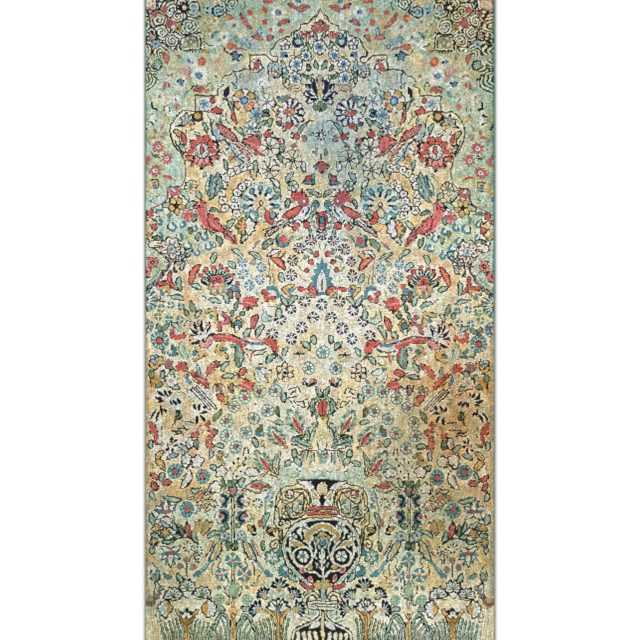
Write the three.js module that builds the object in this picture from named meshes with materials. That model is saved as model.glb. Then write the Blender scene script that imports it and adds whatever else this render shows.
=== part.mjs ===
// A small hand-knotted silk prayer rug, lying flat with its pile up.
// X runs across the rug, Y from its foot to its head, and Z up from the floor. Units are millimetres.
// The origin is on the floor, under the middle of the rug.
import * as THREE from "three";

// Driving dimensions
const RUG_WIDTH = 500;
const RUG_LENGTH = 960;
const FOUNDATION_THICKNESS = 2.2; // warps and wefts
const PILE_HEIGHT = 3.3; // sheared silk above them
const SELVEDGE_WIDTH = 3.2; // overcast cord along each side
const SELVEDGE_HEIGHT = 4.4;
const END_WEB_DEPTH = 7.7; // flat-woven strip past the pile, turned under
const END_WEB_THICKNESS = 2.4; // two layers of it
const SEAM_GAP = 0.3; // between neighbouring pieces

// Worked out from them
const RUG_THICKNESS = FOUNDATION_THICKNESS + PILE_HEIGHT;
const PILE_WIDTH = RUG_WIDTH - 2 * (SELVEDGE_WIDTH + SEAM_GAP);
const PILE_LENGTH = RUG_LENGTH - 2 * (END_WEB_DEPTH + SEAM_GAP);
const SELVEDGE_CENTRE_X = (RUG_WIDTH - SELVEDGE_WIDTH) / 2;
const END_WEB_CENTRE_Y = (RUG_LENGTH - END_WEB_DEPTH) / 2;

// Roundings
const PILE_EDGE_RADIUS = 1.1; // the shears roll the pile over at its rim
const PILE_CORNER_RADIUS = 2.5;
const SELVEDGE_RADIUS = 1.5;
const END_WEB_RADIUS = 1.1;
const EDGE_STEPS = 3;
const CORNER_STEPS = 6;

// Yarn colours
const IVORY_SILK = 0xd9cda6;
const PALE_GREEN_SILK = 0xb7bd9f;
const WARP_COTTON = 0xd6cdb2;

/** A rectangle with round corners, centred on the origin. */
function roundedRectangle(width, height, radius) {
  const x = width / 2;
  const y = height / 2;
  const shape = new THREE.Shape();
  shape.moveTo(radius - x, -y);
  shape.lineTo(x - radius, -y);
  shape.absarc(x - radius, radius - y, radius, -Math.PI / 2, 0);
  shape.lineTo(x, y - radius);
  shape.absarc(x - radius, y - radius, radius, 0, Math.PI / 2);
  shape.lineTo(radius - x, y);
  shape.absarc(radius - x, y - radius, radius, Math.PI / 2, Math.PI);
  shape.lineTo(-x, radius - y);
  shape.absarc(radius - x, radius - y, radius, Math.PI, 1.5 * Math.PI);
  return shape;
}

/** A named mesh with a matt yarn material. */
function yarnMesh(name, geometry, colour, roughness) {
  const material = new THREE.MeshStandardMaterial({ color: colour, roughness, metalness: 0 });
  const mesh = new THREE.Mesh(geometry, material);
  mesh.name = name;
  return mesh;
}

/** The knotted carpet itself: foundation and pile as one slab, rolled over at its rim. */
function makePile() {
  const outline = roundedRectangle(PILE_WIDTH, PILE_LENGTH, PILE_CORNER_RADIUS);
  const geometry = new THREE.ExtrudeGeometry(outline, {
    depth: RUG_THICKNESS - 2 * PILE_EDGE_RADIUS,
    curveSegments: CORNER_STEPS,
    bevelThickness: PILE_EDGE_RADIUS,
    bevelSize: PILE_EDGE_RADIUS,
    bevelOffset: -PILE_EDGE_RADIUS,
    bevelSegments: EDGE_STEPS,
  });
  const mesh = yarnMesh("rug_pile", geometry, IVORY_SILK, 0.75);
  mesh.position.z = PILE_EDGE_RADIUS;
  return mesh;
}

/** An overcast cord along one side: a low rounded bar as long as the rug. */
function makeSelvedge(name, side) {
  const section = roundedRectangle(SELVEDGE_WIDTH, SELVEDGE_HEIGHT, SELVEDGE_RADIUS);
  const geometry = new THREE.ExtrudeGeometry(section, {
    depth: RUG_LENGTH,
    curveSegments: CORNER_STEPS,
    bevelEnabled: false,
  });
  const mesh = yarnMesh(name, geometry, PALE_GREEN_SILK, 0.7);
  mesh.rotation.x = Math.PI / 2;
  mesh.position.set(side * SELVEDGE_CENTRE_X, RUG_LENGTH / 2, SELVEDGE_HEIGHT / 2);
  return mesh;
}

/** The flat-woven strip that closes one end of the pile, between the two cords. */
function makeEndWeb(name, end) {
  const section = roundedRectangle(END_WEB_DEPTH, END_WEB_THICKNESS, END_WEB_RADIUS);
  const geometry = new THREE.ExtrudeGeometry(section, {
    depth: PILE_WIDTH,
    curveSegments: CORNER_STEPS,
    bevelEnabled: false,
  });
  const mesh = yarnMesh(name, geometry, WARP_COTTON, 0.85);
  mesh.rotation.set(Math.PI / 2, Math.PI / 2, 0);
  mesh.position.set(-PILE_WIDTH / 2, end * END_WEB_CENTRE_Y, END_WEB_THICKNESS / 2);
  return mesh;
}

const rug = new THREE.Group();
rug.add(
  makePile(),
  makeSelvedge("selvedge_left", -1),
  makeSelvedge("selvedge_right", 1),
  makeEndWeb("end_web_foot", -1),
  makeEndWeb("end_web_head", 1),
);

export default rug;
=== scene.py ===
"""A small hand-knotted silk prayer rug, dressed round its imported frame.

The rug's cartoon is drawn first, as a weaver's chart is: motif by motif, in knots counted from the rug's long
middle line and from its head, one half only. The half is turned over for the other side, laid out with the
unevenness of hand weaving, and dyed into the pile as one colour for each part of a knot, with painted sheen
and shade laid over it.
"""

import logging
import math
from dataclasses import dataclass
from enum import Enum

import bpy
import numpy as np
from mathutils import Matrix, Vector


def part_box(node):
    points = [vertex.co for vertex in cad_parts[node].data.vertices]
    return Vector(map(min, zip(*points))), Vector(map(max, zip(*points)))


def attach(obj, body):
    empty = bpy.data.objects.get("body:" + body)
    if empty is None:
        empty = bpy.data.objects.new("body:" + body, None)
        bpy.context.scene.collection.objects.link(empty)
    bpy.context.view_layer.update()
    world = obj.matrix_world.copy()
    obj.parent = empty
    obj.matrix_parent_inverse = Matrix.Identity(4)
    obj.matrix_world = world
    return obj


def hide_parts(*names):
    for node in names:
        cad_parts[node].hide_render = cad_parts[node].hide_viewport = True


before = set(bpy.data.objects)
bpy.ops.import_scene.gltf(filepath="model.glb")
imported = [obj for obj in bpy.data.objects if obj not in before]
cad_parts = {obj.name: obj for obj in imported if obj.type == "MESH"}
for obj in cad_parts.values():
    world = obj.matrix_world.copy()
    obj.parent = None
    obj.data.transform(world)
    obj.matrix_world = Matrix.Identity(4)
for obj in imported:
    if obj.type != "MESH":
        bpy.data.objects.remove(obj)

log = logging.getLogger("rug")

# The chart's measure
KNOT = 1.4205e-3  # metres, about 18 knots to the inch
FINENESS = 2  # cells of the chart to a knot, each way
HALF_WIDTH = 180  # knots from the middle line to past the side
HEAD_ROW = -20  # rows are counted from the topmost that the photo shows
FOOT_ROW = 660
MIDDLE_ROW = 320  # the row that crosses the rug's middle
CELL = 1 / FINENESS  # knots
SMOOTH_STEP = 1.2  # knots from one place to the next along a curved line

Spot = tuple[float, float]
Array = np.ndarray


class Silk(Enum):
    """The dyed silks, as they look on the rug."""

    IVORY = (230, 225, 200)
    CREAM = (234, 229, 206)
    STRAW = (222, 202, 166)
    GOLD = (208, 174, 114)
    AMBER = (182, 140, 76)
    TAN = (181, 161, 111)
    MINT = (166, 194, 172)
    PALE_MINT = (190, 208, 188)
    JADE = (100, 150, 140)
    SEA = (140, 172, 156)
    GREEN = (116, 148, 120)
    OLIVE = (110, 108, 62)
    MOSS = (40, 46, 32)
    INK = (20, 24, 20)
    SKY = (165, 192, 200)
    BLUE = (104, 142, 164)
    TEAL = (82, 136, 144)
    NAVY = (34, 40, 66)
    BLACK = (30, 28, 34)
    WHITE = (228, 230, 220)
    GREY = (176, 184, 176)
    CORAL = (204, 98, 90)
    ORANGE = (218, 130, 92)
    ROSE = (188, 104, 106)
    PINK = (220, 158, 152)
    MAUVE = (148, 124, 126)
    PEACH = (226, 196, 150)
    BROWN = (96, 76, 52)

    @property
    def rgb(self) -> Array:
        """The colour as three numbers up to 1."""
        return np.array(self.value, dtype=np.float32) / 255


(IVORY, CREAM, STRAW, GOLD, AMBER, TAN, MINT, PALE_MINT, JADE, SEA, GREEN, OLIVE, MOSS, INK, SKY, BLUE, TEAL,
 NAVY, BLACK, WHITE, GREY, CORAL, ORANGE, ROSE, PINK, MAUVE, PEACH, BROWN) = Silk

LEAFY = (MINT, SEA, GREEN)  # silks whose shapes have a fainter outline
LEAFY_SHARE = 0.85  # and how strong it is
DARK = (BLACK, NAVY, INK, MOSS)  # silks that need no outline


class Shape(Enum):
    """How the width of a drawn line changes from its start to its tip."""

    STEM = "stem"
    LEAF = "leaf"
    DROP = "drop"
    TAPER = "taper"
    FLARE = "flare"

    def width(self, along: Array) -> Array:
        """The share of the full width at each place, from 0 at the start to 1 at the tip."""
        if self is Shape.LEAF:
            return np.sin(np.pi * along) ** 0.8
        if self is Shape.DROP:
            return np.sin(np.pi * np.clip(along, 0, 1) ** 0.6)
        if self is Shape.TAPER:
            return 1 - 0.8 * along
        if self is Shape.FLARE:
            return 0.35 + 0.65 * along
        return np.ones_like(along)


def smooth(points: list[Spot]) -> Array:
    """A smooth run of places through the given ones, one row each, about SMOOTH_STEP apart."""
    given = np.array(points, dtype=np.float64)
    if len(given) == 2:
        return given
    padded = np.vstack([2 * given[0] - given[1], given, 2 * given[-1] - given[-2]])
    run = [given[:1]]
    for a, b, c, d in zip(padded, padded[1:], padded[2:], padded[3:]):
        count = max(2, int(np.hypot(*(c - b)) / SMOOTH_STEP))
        t = (np.arange(1, count + 1) / count)[:, None]
        run.append(0.5 * (2 * b + (c - a) * t + (2 * a - 5 * b + 4 * c - d) * t**2
                          + (3 * b - a - 3 * c + d) * t**3))
    return np.vstack(run)


def placed(at: Spot, points: list[Spot], turn: float = 0, size: float = 1) -> list[Spot]:
    """Places of a motif's own outline on the chart.

    Args:
        at: where the motif's own origin goes, in knots.
        points: places in the motif, to the right and up as seen on the left half.
        turn: degrees anticlockwise.
        size: how much larger than drawn.

    Returns:
        The places on the chart.
    """
    c, s = math.cos(math.radians(turn)) * size, math.sin(math.radians(turn)) * size
    return [(at[0] - (x * c - y * s), at[1] - (x * s + y * c)) for x, y in points]


def cloud(x: Array, y: Array, size: float, seed: int) -> Array:
    """Soft random light and dark over the rug, from -1 to 1.

    Args:
        x: knots across.
        y: knots along.
        size: knots from one light place to the next.
        seed: picks one of many such cloudings.
    """
    draw = np.random.default_rng(seed)
    lattice = draw.uniform(-1, 1, (int(1100 / size) + 4, int(1100 / size) + 4))
    col, row = (x + 400) / size, (y + 400) / size
    c, r = col.astype(int), row.astype(int)
    fc, fr = col - c, row - r
    fc, fr = fc * fc * (3 - 2 * fc), fr * fr * (3 - 2 * fr)
    upper = lattice[r, c] * (1 - fc) + lattice[r, c + 1] * fc
    lower = lattice[r + 1, c] * (1 - fc) + lattice[r + 1, c + 1] * fc
    return upper * (1 - fr) + lower * fr


def beyond_arch(out: Array | float, down: Array | float) -> Array:
    """Whether places lie outside the arch, on the mint ground where motifs have hardly any outline."""
    rows = (-20, 10, 18, 30, 40, 56, 70, 95, 111, 130, 150, 172, 187, 204)
    reach = (0, 2, 12, 28, 42, 60, 80, 104, 130, 150, 141, 135, 146, 158)
    return (out > np.interp(down, rows, reach)) & (down < 200)


# Where outlines are fainter: knots out, down, reach across, reach along, how much fainter
FAINT_OUTLINES = ((138, 229, 26, 22, 0.8), (70, 415, 32, 34, 0.4), (0, 466, 50, 12, 0.8),
                  (66, 275, 22, 18, 0.5), (0, 96, 14, 14, 0.6))


class Patch:
    """A part of the chart, with each cell's place measured from a motif's own middle."""

    def __init__(self, chart: "Chart", at: Spot, reach: float, turn: float = 0) -> None:
        """Finds the cells within reach of a place.

        Args:
            chart: the chart that is drawn on.
            at: the motif's middle, in knots out from the middle line and down from the head.
            reach: how far the motif goes, in knots.
            turn: degrees anticlockwise.
        """
        rows, cols = chart.cells_near(at[0] - reach, at[0] + reach, at[1] - reach, at[1] + reach)
        right = (at[0] - chart.out[cols])[None, :]
        up = (at[1] - chart.down[rows])[:, None]
        c, s = math.cos(math.radians(turn)), math.sin(math.radians(turn))
        self.x = right * c + up * s
        self.y = up * c - right * s
        self.radius = np.hypot(self.x, self.y)
        self.angle = np.arctan2(self.y, self.x)
        self.chart, self.window = chart, (rows, cols)

    def fill(self, distance: Array, silk: Silk, strength: float = 1, soft: float = CELL) -> None:
        """Dyes the cells whose distance outside the shape's edge is below nought.

        Args:
            distance: how far each cell is outside the shape, in knots.
            silk: the colour.
            strength: 1 for full colour, less for a faint one.
            soft: how many knots wide the edge is.
        """
        self.chart.lay(self.window, distance, silk, strength, soft)

    def edge(self, distance: Array, silk: Silk) -> None:
        """Dyes a thin uneven line just outside the shape's edge."""
        self.chart.lay(self.window, distance - self.chart.line_width(self.window), silk, mark=False)


class Chart:
    """The rug's cartoon: the left half of the design, as a sheet of coloured cells."""

    outline = 0.95  # how dark the outlines are
    unbroken = 0.46  # the share of them that stays where the grain is even
    broken = 1.7  # how much the grain adds or takes
    arch_faintness = 0.8  # how much fainter they are outside the arch
    crispness = 0.4  # how far each cell is pushed away from the colours round it
    crisp_reach = 3  # cells to the colours that it is held against

    def __init__(self) -> None:
        """Rules an empty sheet of plain ivory."""
        self.out = HALF_WIDTH - (np.arange(HALF_WIDTH * FINENESS) + 0.5) / FINENESS
        self.down = HEAD_ROW + (np.arange((FOOT_ROW - HEAD_ROW) * FINENESS) + 0.5) / FINENESS
        self.colour = np.zeros((self.down.size, self.out.size, 3), dtype=np.float32)
        self.colour[:] = IVORY.rgb
        self.drawn = np.zeros(self.colour.shape[:2], dtype=np.float32)
        self.taken = self.drawn.copy()
        down, out = np.meshgrid(self.down, self.out, indexing="ij")
        self.grain = 0.6 * cloud(out, down, 2.4, 5) + 0.5 * cloud(out, down, 1.2, 6)

    def lay(self, window: tuple[slice, slice], distance: Array, silk: Silk, strength: float = 1,
            soft: float = CELL, mark: bool = True) -> None:
        """Dyes the cells whose distance outside a shape's edge is below nought, and marks them as drawn on.

        Args:
            window: the rows and columns of the cells.
            distance: how far each is outside the shape, in knots.
            silk: the colour.
            strength: 1 for full colour, less for a faint one.
            soft: how many knots wide the edge is.
            mark: whether it stands on the ground, and so gets an outline.
        """
        cover = np.clip(0.5 - distance / soft, 0, 1) * strength
        cells, drawn = self.colour[window], self.drawn[window]
        cells += cover[..., None] * (silk.rgb - cells)
        if mark and soft < 1 and np.min(strength) > 0.9 and silk not in DARK:
            np.maximum(drawn, cover * (LEAFY_SHARE if silk in LEAFY else 1), out=drawn)
        if soft < 1:
            taken = self.taken[window]
            np.maximum(taken, cover, out=taken)

    def line_width(self, window: tuple[slice, slice]) -> Array:
        """How wide a motif's outline comes out at each cell: here and there it breaks off."""
        return np.clip(1.0 + 0.7 * self.grain[window], -0.2, 1.5)

    def key(self) -> None:
        """Draws a broken dark line round all that stands on the ground, and crispens the whole."""
        near = self.drawn.copy()
        for _ in range(FINENESS):
            wide = np.maximum(near, np.roll(near, 1, axis=0))
            wide = np.maximum(wide, np.roll(near, -1, axis=0))
            wide = np.maximum(wide, np.roll(wide, 1, axis=1))
            near = np.maximum(wide, np.roll(wide, -1, axis=1))
        whole = np.clip(self.unbroken + self.broken * self.grain, 0, 1)
        ring = np.clip(near - self.drawn, 0, 1) * whole * self.outline
        out, down = np.meshgrid(self.out, self.down)
        faint = np.where(beyond_arch(out, down), self.arch_faintness, 0)
        for u, v, wide, long, share in FAINT_OUTLINES:
            faint = np.maximum(faint, share * np.exp(-((out - u) / wide) ** 4 - ((down - v) / long) ** 4))
        ring *= 1 - faint
        self.colour += ring[..., None] * (INK.rgb - self.colour)
        steps = (-self.crisp_reach, self.crisp_reach)
        around = sum(np.roll(self.colour, step, axis=axis) for step in steps for axis in (0, 1)) / 4
        self.colour = np.clip(self.colour + self.crispness * (self.colour - around), 0, 1)

    def cells_near(self, near: float, far: float, top: float, bottom: float) -> tuple[slice, slice]:
        """The rows and columns of the cells inside a box given in knots."""
        first = max(0, int((HALF_WIDTH - far) * FINENESS))
        last = max(0, int(math.ceil((HALF_WIDTH - near) * FINENESS)))
        upper = max(0, int((top - HEAD_ROW) * FINENESS))
        lower = max(0, int(math.ceil((bottom - HEAD_ROW) * FINENESS)))
        return slice(upper, lower), slice(first, last)

    def ground(self, outline: list[Spot], silk: Silk, soft: float = 0, strength: float = 1) -> None:
        """Fills a many-sided area.

        Args:
            outline: its corners, in knots.
            silk: the colour.
            soft: how many knots wide its fading edge is.
            strength: 1 for full colour, less for a faint one.
        """
        window, distance = self.outside(outline, soft + 1)
        self.lay(window, distance, silk, strength, max(soft, CELL))

    def outside(self, outline: list[Spot], spare: float = 1) -> tuple[tuple[slice, slice], Array]:
        """How far cells are outside a many-sided area.

        Args:
            outline: its corners, in knots.
            spare: how far round it cells are looked at.

        Returns:
            The cells' rows and columns, and their distances in knots, below nought inside.
        """
        corners = np.array(outline, dtype=np.float64)
        low, high = corners.min(axis=0) - spare, corners.max(axis=0) + spare
        rows, cols = self.cells_near(low[0], high[0], low[1], high[1])
        out, down = np.meshgrid(self.out[cols], self.down[rows])
        inside = np.zeros(out.shape, dtype=bool)
        gap = np.full(out.shape, 1e9)
        for (u0, v0), (u1, v1) in zip(corners, np.roll(corners, -1, axis=0)):
            crosses = (v0 > down) != (v1 > down)
            if v1 != v0:
                inside ^= crosses & (out < (u1 - u0) * (down - v0) / (v1 - v0) + u0)
            span = (u1 - u0) ** 2 + (v1 - v0) ** 2 or 1e-9
            share = np.clip(((out - u0) * (u1 - u0) + (down - v0) * (v1 - v0)) / span, 0, 1)
            gap = np.minimum(gap, np.hypot(out - u0 - share * (u1 - u0), down - v0 - share * (v1 - v0)))
        return (rows, cols), np.where(inside, -gap, gap)

    def scrollwork(self, outline: list[Spot], middles: list[Spot], silk: Silk) -> None:
        """Fills a many-sided area with spiral scrolls that press against one another.

        Args:
            outline: the area's corners, in knots.
            middles: the scrolls' middles.
            silk: the colour between the dark lines.
        """
        pitch = 3.1  # knots from one turn of a scroll to the next
        (rows, cols), outside = self.outside(outline)
        out, down = np.meshgrid(self.out[cols], self.down[rows])
        away = np.array([np.hypot(out - u, down - v) for u, v in middles])
        order = np.argsort(away, axis=0)
        nearest, next_one = (np.take_along_axis(away, order[i:i + 1], axis=0)[0] for i in (0, 1))
        u, v = np.moveaxis(np.array(middles)[order[0]], -1, 0)
        angle = np.arctan2(down - v, out - u) * np.where(order[0] % 2, 1, -1)
        swing = 0.25 * np.sin(5 * angle + order[0]) + 0.4 * self.grain[rows, cols]
        turn = ((nearest + swing) / pitch + angle / (2 * np.pi)) % 1
        line = np.minimum(np.abs(turn - 0.5) * pitch - 0.55, (next_one - nearest) / 2 - 0.45)
        self.lay((rows, cols), outside, silk, 0.7, mark=False)
        self.lay((rows, cols), np.maximum(line, outside), INK, mark=False)

    def line(self, points: list[Spot], width: float, silk: Silk, shape: Shape = Shape.STEM,
             rim: Silk | None = None, teeth: int = 0, vein: Silk | None = None, strength: float = 1) -> None:
        """Draws a smooth line, stem, leaf or feather along some places.

        Args:
            points: the places it passes through, in knots.
            width: its full width.
            silk: its colour.
            shape: how its width changes.
            rim: the colour of its outline.
            teeth: how many notches its edges have.
            vein: the colour of a thin line along it.
            strength: 1 for full colour, less for a faint one.
        """
        run = smooth(points)
        if shape is Shape.LEAF and width > 3:
            width *= 0.86
        low, high = run.min(axis=0) - width - 2, run.max(axis=0) + width + 2
        rows, cols = self.cells_near(low[0], high[0], low[1], high[1])
        edge = np.full((self.down[rows].size, self.out[cols].size), 1e3)
        if edge.size == 0:
            return
        middle = edge.copy()
        down, out = self.down[rows], self.out[cols]
        total = len(run) - 1
        for i, ((u0, v0), (u1, v1)) in enumerate(zip(run, run[1:])):
            reach = width + 1.5
            r = slice(*np.searchsorted(down, [min(v0, v1) - reach, max(v0, v1) + reach]))
            c = slice(*np.searchsorted(-out, [-max(u0, u1) - reach, -min(u0, u1) + reach]))
            du, dv = (out[c] - u0)[None, :], (down[r] - v0)[:, None]
            span = (u1 - u0) ** 2 + (v1 - v0) ** 2 or 1e-9
            share = np.clip((du * (u1 - u0) + dv * (v1 - v0)) / span, 0, 1)
            along = (i + share) / total
            half = width / 2 * shape.width(along)
            if teeth:
                half = half * (0.72 + 0.4 * np.abs((along * teeth) % 1 - 0.25))
            gap = np.hypot(du - share * (u1 - u0), dv - share * (v1 - v0))
            edge[r, c] = np.minimum(edge[r, c], gap - half)
            middle[r, c] = np.minimum(middle[r, c], gap + 9 * (along > 0.85))
        window = rows, cols
        for distance, colour in ((edge - self.line_width(window), rim), (edge, silk), (middle - 0.5, vein)):
            if colour is not None:
                share = LEAFY_SHARE if distance is not edge and silk in LEAFY else 1
                self.lay(window, distance, colour, share * strength, mark=width > 1.7 and colour is silk)
        if shape is Shape.LEAF and width > 3.4 and silk not in (BLACK, NAVY, WHITE):
            self.lay(window, edge + 0.26 * width, CREAM, 0.36 + 0.2 * self.grain[window], 1.5)
            if vein is None:
                self.lay(window, middle - 0.5, MOSS, np.clip(0.35 + 1.2 * self.grain[window], 0, 0.8))

    def disc(self, at: Spot, radius: float, silk: Silk, rim: Silk | None = None, strength: float = 1) -> None:
        """A round spot, with an outline if a rim colour is given."""
        patch = Patch(self, at, radius + 2)
        if rim is not None:
            patch.edge(patch.radius - radius, rim)
        patch.fill(patch.radius - radius, silk, strength)

    def flower(self, at: Spot, radius: float, petals: int, silk: Silk, heart: Silk | None = None,
               rim: Silk | None = None, depth: float = 0.35, core: float = 0.32, turn: float = 0,
               gaps: Silk | None = None, soft: float = CELL) -> None:
        """A round flower seen from the front.

        Args:
            at: its middle.
            radius: to its petals' tips.
            petals: how many.
            silk: the petals' colour.
            heart: the colour of its middle.
            rim: the colour of its outline.
            depth: how deep the petals are cut, as a share of the radius.
            core: the heart's radius, as a share of the whole.
            turn: degrees anticlockwise.
            gaps: the colour of the lines between the petals.
            soft: how many knots wide its edge is.
        """
        patch = Patch(self, at, radius + 2 + soft, turn)
        wave = np.abs(np.cos(petals * patch.angle / 2))
        edge = patch.radius - radius * (1 - depth * (1 - wave**0.7))
        if rim is not None:
            patch.edge(edge, rim)
        patch.fill(edge, silk, soft=soft)
        if gaps is not None or radius > 4.5 and soft < 1:
            between = np.abs(np.sin(petals * patch.angle / 2 + np.pi / 2)) * patch.radius * 2 / petals
            patch.fill(np.maximum(between - 0.45, edge), gaps or MOSS, 0.9 if gaps else 0.6)
        if heart is not None:
            patch.fill(patch.radius - radius * core, heart)

    def leaf(self, start: Spot, tip: Spot, width: float, silk: Silk, rim: Silk | None = None,
             bend: float = 0, vein: Silk | None = None, teeth: int = 0, strength: float = 1) -> None:
        """Draws a leaf, petal or bud between two places.

        Args:
            start: where it starts, in knots.
            tip: where it ends.
            width: its full width.
            silk: its colour.
            rim: the colour of its outline.
            bend: how far its middle bows to the left of the way it points, as a share of its length.
            vein: the colour of a line along it.
            teeth: how many notches its edges have.
            strength: how far its colours cover what lies there.
        """
        (u0, v0), (u1, v1) = start, tip
        middle = ((u0 + u1) / 2 - (v1 - v0) * bend, (v0 + v1) / 2 + (u1 - u0) * bend)
        points = [start, middle, tip] if bend else [start, tip]
        self.line(points, width, silk, Shape.LEAF, rim, teeth, vein, strength)

    def petals(self, at: Spot, inner: float, outer: float, count: int, width: float, silk: Silk,
               turn: float = 90, spread: float = 360, rim: Silk | None = None) -> None:
        """Draws separate petals or rays about a middle.

        Args:
            at: the middle.
            inner: where each petal starts, in knots from the middle.
            outer: where it ends.
            count: how many.
            width: the full width of one.
            silk: its colour.
            turn: the way the middle of the fan points, in degrees anticlockwise from the right.
            spread: degrees from the first petal to the last, or 360 for a full round.
            rim: the colour of its outline.
        """
        patch = Patch(self, at, outer + 2)
        angle = (patch.angle - math.radians(turn) + np.pi) % (2 * np.pi) - np.pi
        step = math.radians(spread) / (count if spread == 360 else max(count - 1, 1))
        if spread == 360:
            nearest = np.round(angle / step)
        else:
            half = (count - 1) / 2
            nearest = np.clip(np.round(angle / step + half), 0, count - 1) - half
        off = angle - nearest * step
        along = patch.radius * np.cos(off) - (inner + outer) / 2
        across = patch.radius * np.sin(off)
        half_length, half_width = (outer - inner) / 2, width / 2
        oval = np.hypot(along / half_length, across / half_width)
        distance = (oval - 1) * min(half_length, half_width)
        if rim is not None:
            patch.edge(distance, rim)
        patch.fill(distance, silk)

    def wheel(self, at: Spot, inner: float, outer: float, count: int, silk: Silk, gap: float = 1.1,
              turn: float = 0, strength: float = 0.9) -> None:
        """Draws a ring that thin gaps cut into even blocks, as the rosettes' petals are woven.

        Args:
            at: its middle.
            inner: the ring's inner radius, in knots.
            outer: its outer radius.
            count: how many blocks.
            silk: their colour.
            gap: the gaps' width.
            turn: degrees anticlockwise.
            strength: how far it covers what is under it.
        """
        patch = Patch(self, at, outer + 1, turn)
        step = 2 * np.pi / count
        off = np.abs((patch.angle + np.pi) % step - step / 2)
        cut = gap / 2 - patch.radius * np.sin(np.minimum(off, step / 2))
        patch.fill(np.maximum(cut, np.maximum(patch.radius - outer, inner - patch.radius)), silk, strength)

    def rings(self, at: Spot, radius: float, silks: tuple[Silk, ...], tall: float = 1) -> None:
        """Draws rings, from the outermost colour inwards, equally spaced."""
        patch = Patch(self, at, radius * max(1, tall) + 2)
        distance = np.hypot(patch.x, patch.y / tall)
        for i, silk in enumerate(silks):
            patch.fill(distance - radius * (1 - i / len(silks)), silk)

    def tulip(self, at: Spot, size: float, turn: float, silk: Silk, rim: Silk) -> None:
        """Draws a three-petalled flower seen from the side.

        Args:
            at: the foot of the flower.
            size: its height.
            turn: the way it opens, in degrees anticlockwise from upwards.
            silk: the petals' colour.
            rim: their outline.
        """
        for side in (-1, 1):
            self.line(placed(at, [(0, 0), (side * 0.42, 0.3), (side * 0.5, 0.9)], turn, size), size * 0.42,
                      silk, Shape.LEAF, rim)
        self.line(placed(at, [(0, 0), (0, 1)], turn, size), size * 0.5, silk, Shape.LEAF, rim)

    def leaves(self, silk: Silk, width: float, *ends: tuple[float, float, float, float],
               rim: Silk | None = None, bend: float = 0.1, vein: Silk | None = None, teeth: int = 0,
               strength: float = 1) -> None:
        """Draws several like leaves, each from its start to its tip."""
        for u0, v0, u1, v1 in ends:
            self.leaf((u0, v0), (u1, v1), width, silk, rim, bend, vein, teeth, strength)

    def lines(self, silk: Silk, width: float, *runs: tuple[float, ...], shape: Shape = Shape.STEM,
              rim: Silk | None = None, strength: float = 1) -> None:
        """Draws several like lines, each through places given one after another."""
        for run in runs:
            self.line(list(zip(run[::2], run[1::2])), width, silk, shape, rim, strength=strength)

    def flowers(self, silk: Silk, petals: int, *spots: tuple[float, float, float],
                heart: Silk | None = None, depth: float = 0.35, core: float = 0.32,
                soft: float = CELL) -> None:
        """Draws several like flowers, each with its place and radius."""
        for u, v, radius in spots:
            self.flower((u, v), radius, petals, silk, heart, depth=depth, core=core, soft=soft)

    def discs(self, silk: Silk, *spots: tuple[float, float, float], rim: Silk | None = None,
              strength: float = 1) -> None:
        """Draws several like round spots, each with its place and radius."""
        for u, v, radius in spots:
            self.disc((u, v), radius, silk, rim, strength)

    def scroll(self, at: Spot, radius: float, turns: float, silk: Silk, start: float, width: float) -> None:
        """A spiral line that winds inwards from its start."""
        share = np.linspace(0, 1, int(10 * turns) + 2)
        angle = np.radians(start) + share * turns * 2 * np.pi
        reach = radius * (1 - 0.85 * share)
        points = [(at[0] - r * math.cos(a), at[1] - r * math.sin(a)) for r, a in zip(reach, angle)]
        self.line(points, width, silk)


def grounds(chart: Chart) -> None:
    """Lays the ivory field and the mint spandrel outside the arch."""
    chart.ground([(185, -22), (0, -22), (0, 8), (8, 18), (22, 30), (36, 40), (48, 50), (70, 54), (86, 70),
            (102, 84), (108, 94), (126, 98), (140, 110), (150, 126), (150, 140), (140, 156), (136, 178),
            (152, 190), (156, 204), (172, 214), (172, 238), (156, 262), (158, 274), (172, 288), (185, 290)],
            MINT, soft=5, strength=0.62)
    chart.ground([(150, 84), (120, 92), (140, 112), (152, 140), (138, 170), (176, 210), (185, 210),
            (185, 60)], PALE_MINT, soft=20, strength=0.5)
    chart.ground([(182, -22), (92, -22), (98, 14), (120, 20), (116, 52), (150, 52), (182, 66)], TAN, soft=6,
            strength=0.35)
    for u, v, radius, silk, strength in ((78, 80, 13, SKY, 0.7), (62, 80, 12, SKY, 0.6),
            (60, 84, 6, WHITE, 0.5), (26, 88, 9, STRAW, 0.8), (65, 45, 8, SKY, 0.5), (80, 8, 10, SEA, 0.4),
            (55, 12, 16, SEA, 0.3), (20, 6, 12, PALE_MINT, 0.5), (100, 60, 12, STRAW, 0.6),
            (116, 80, 8, CREAM, 0.4), (150, 66, 10, STRAW, 0.3)):
        chart.ground([(u + radius * math.cos(a), v + radius * math.sin(a)) for a in np.linspace(0, 6, 12)],
                silk, soft=radius * 0.9, strength=strength)


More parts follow.
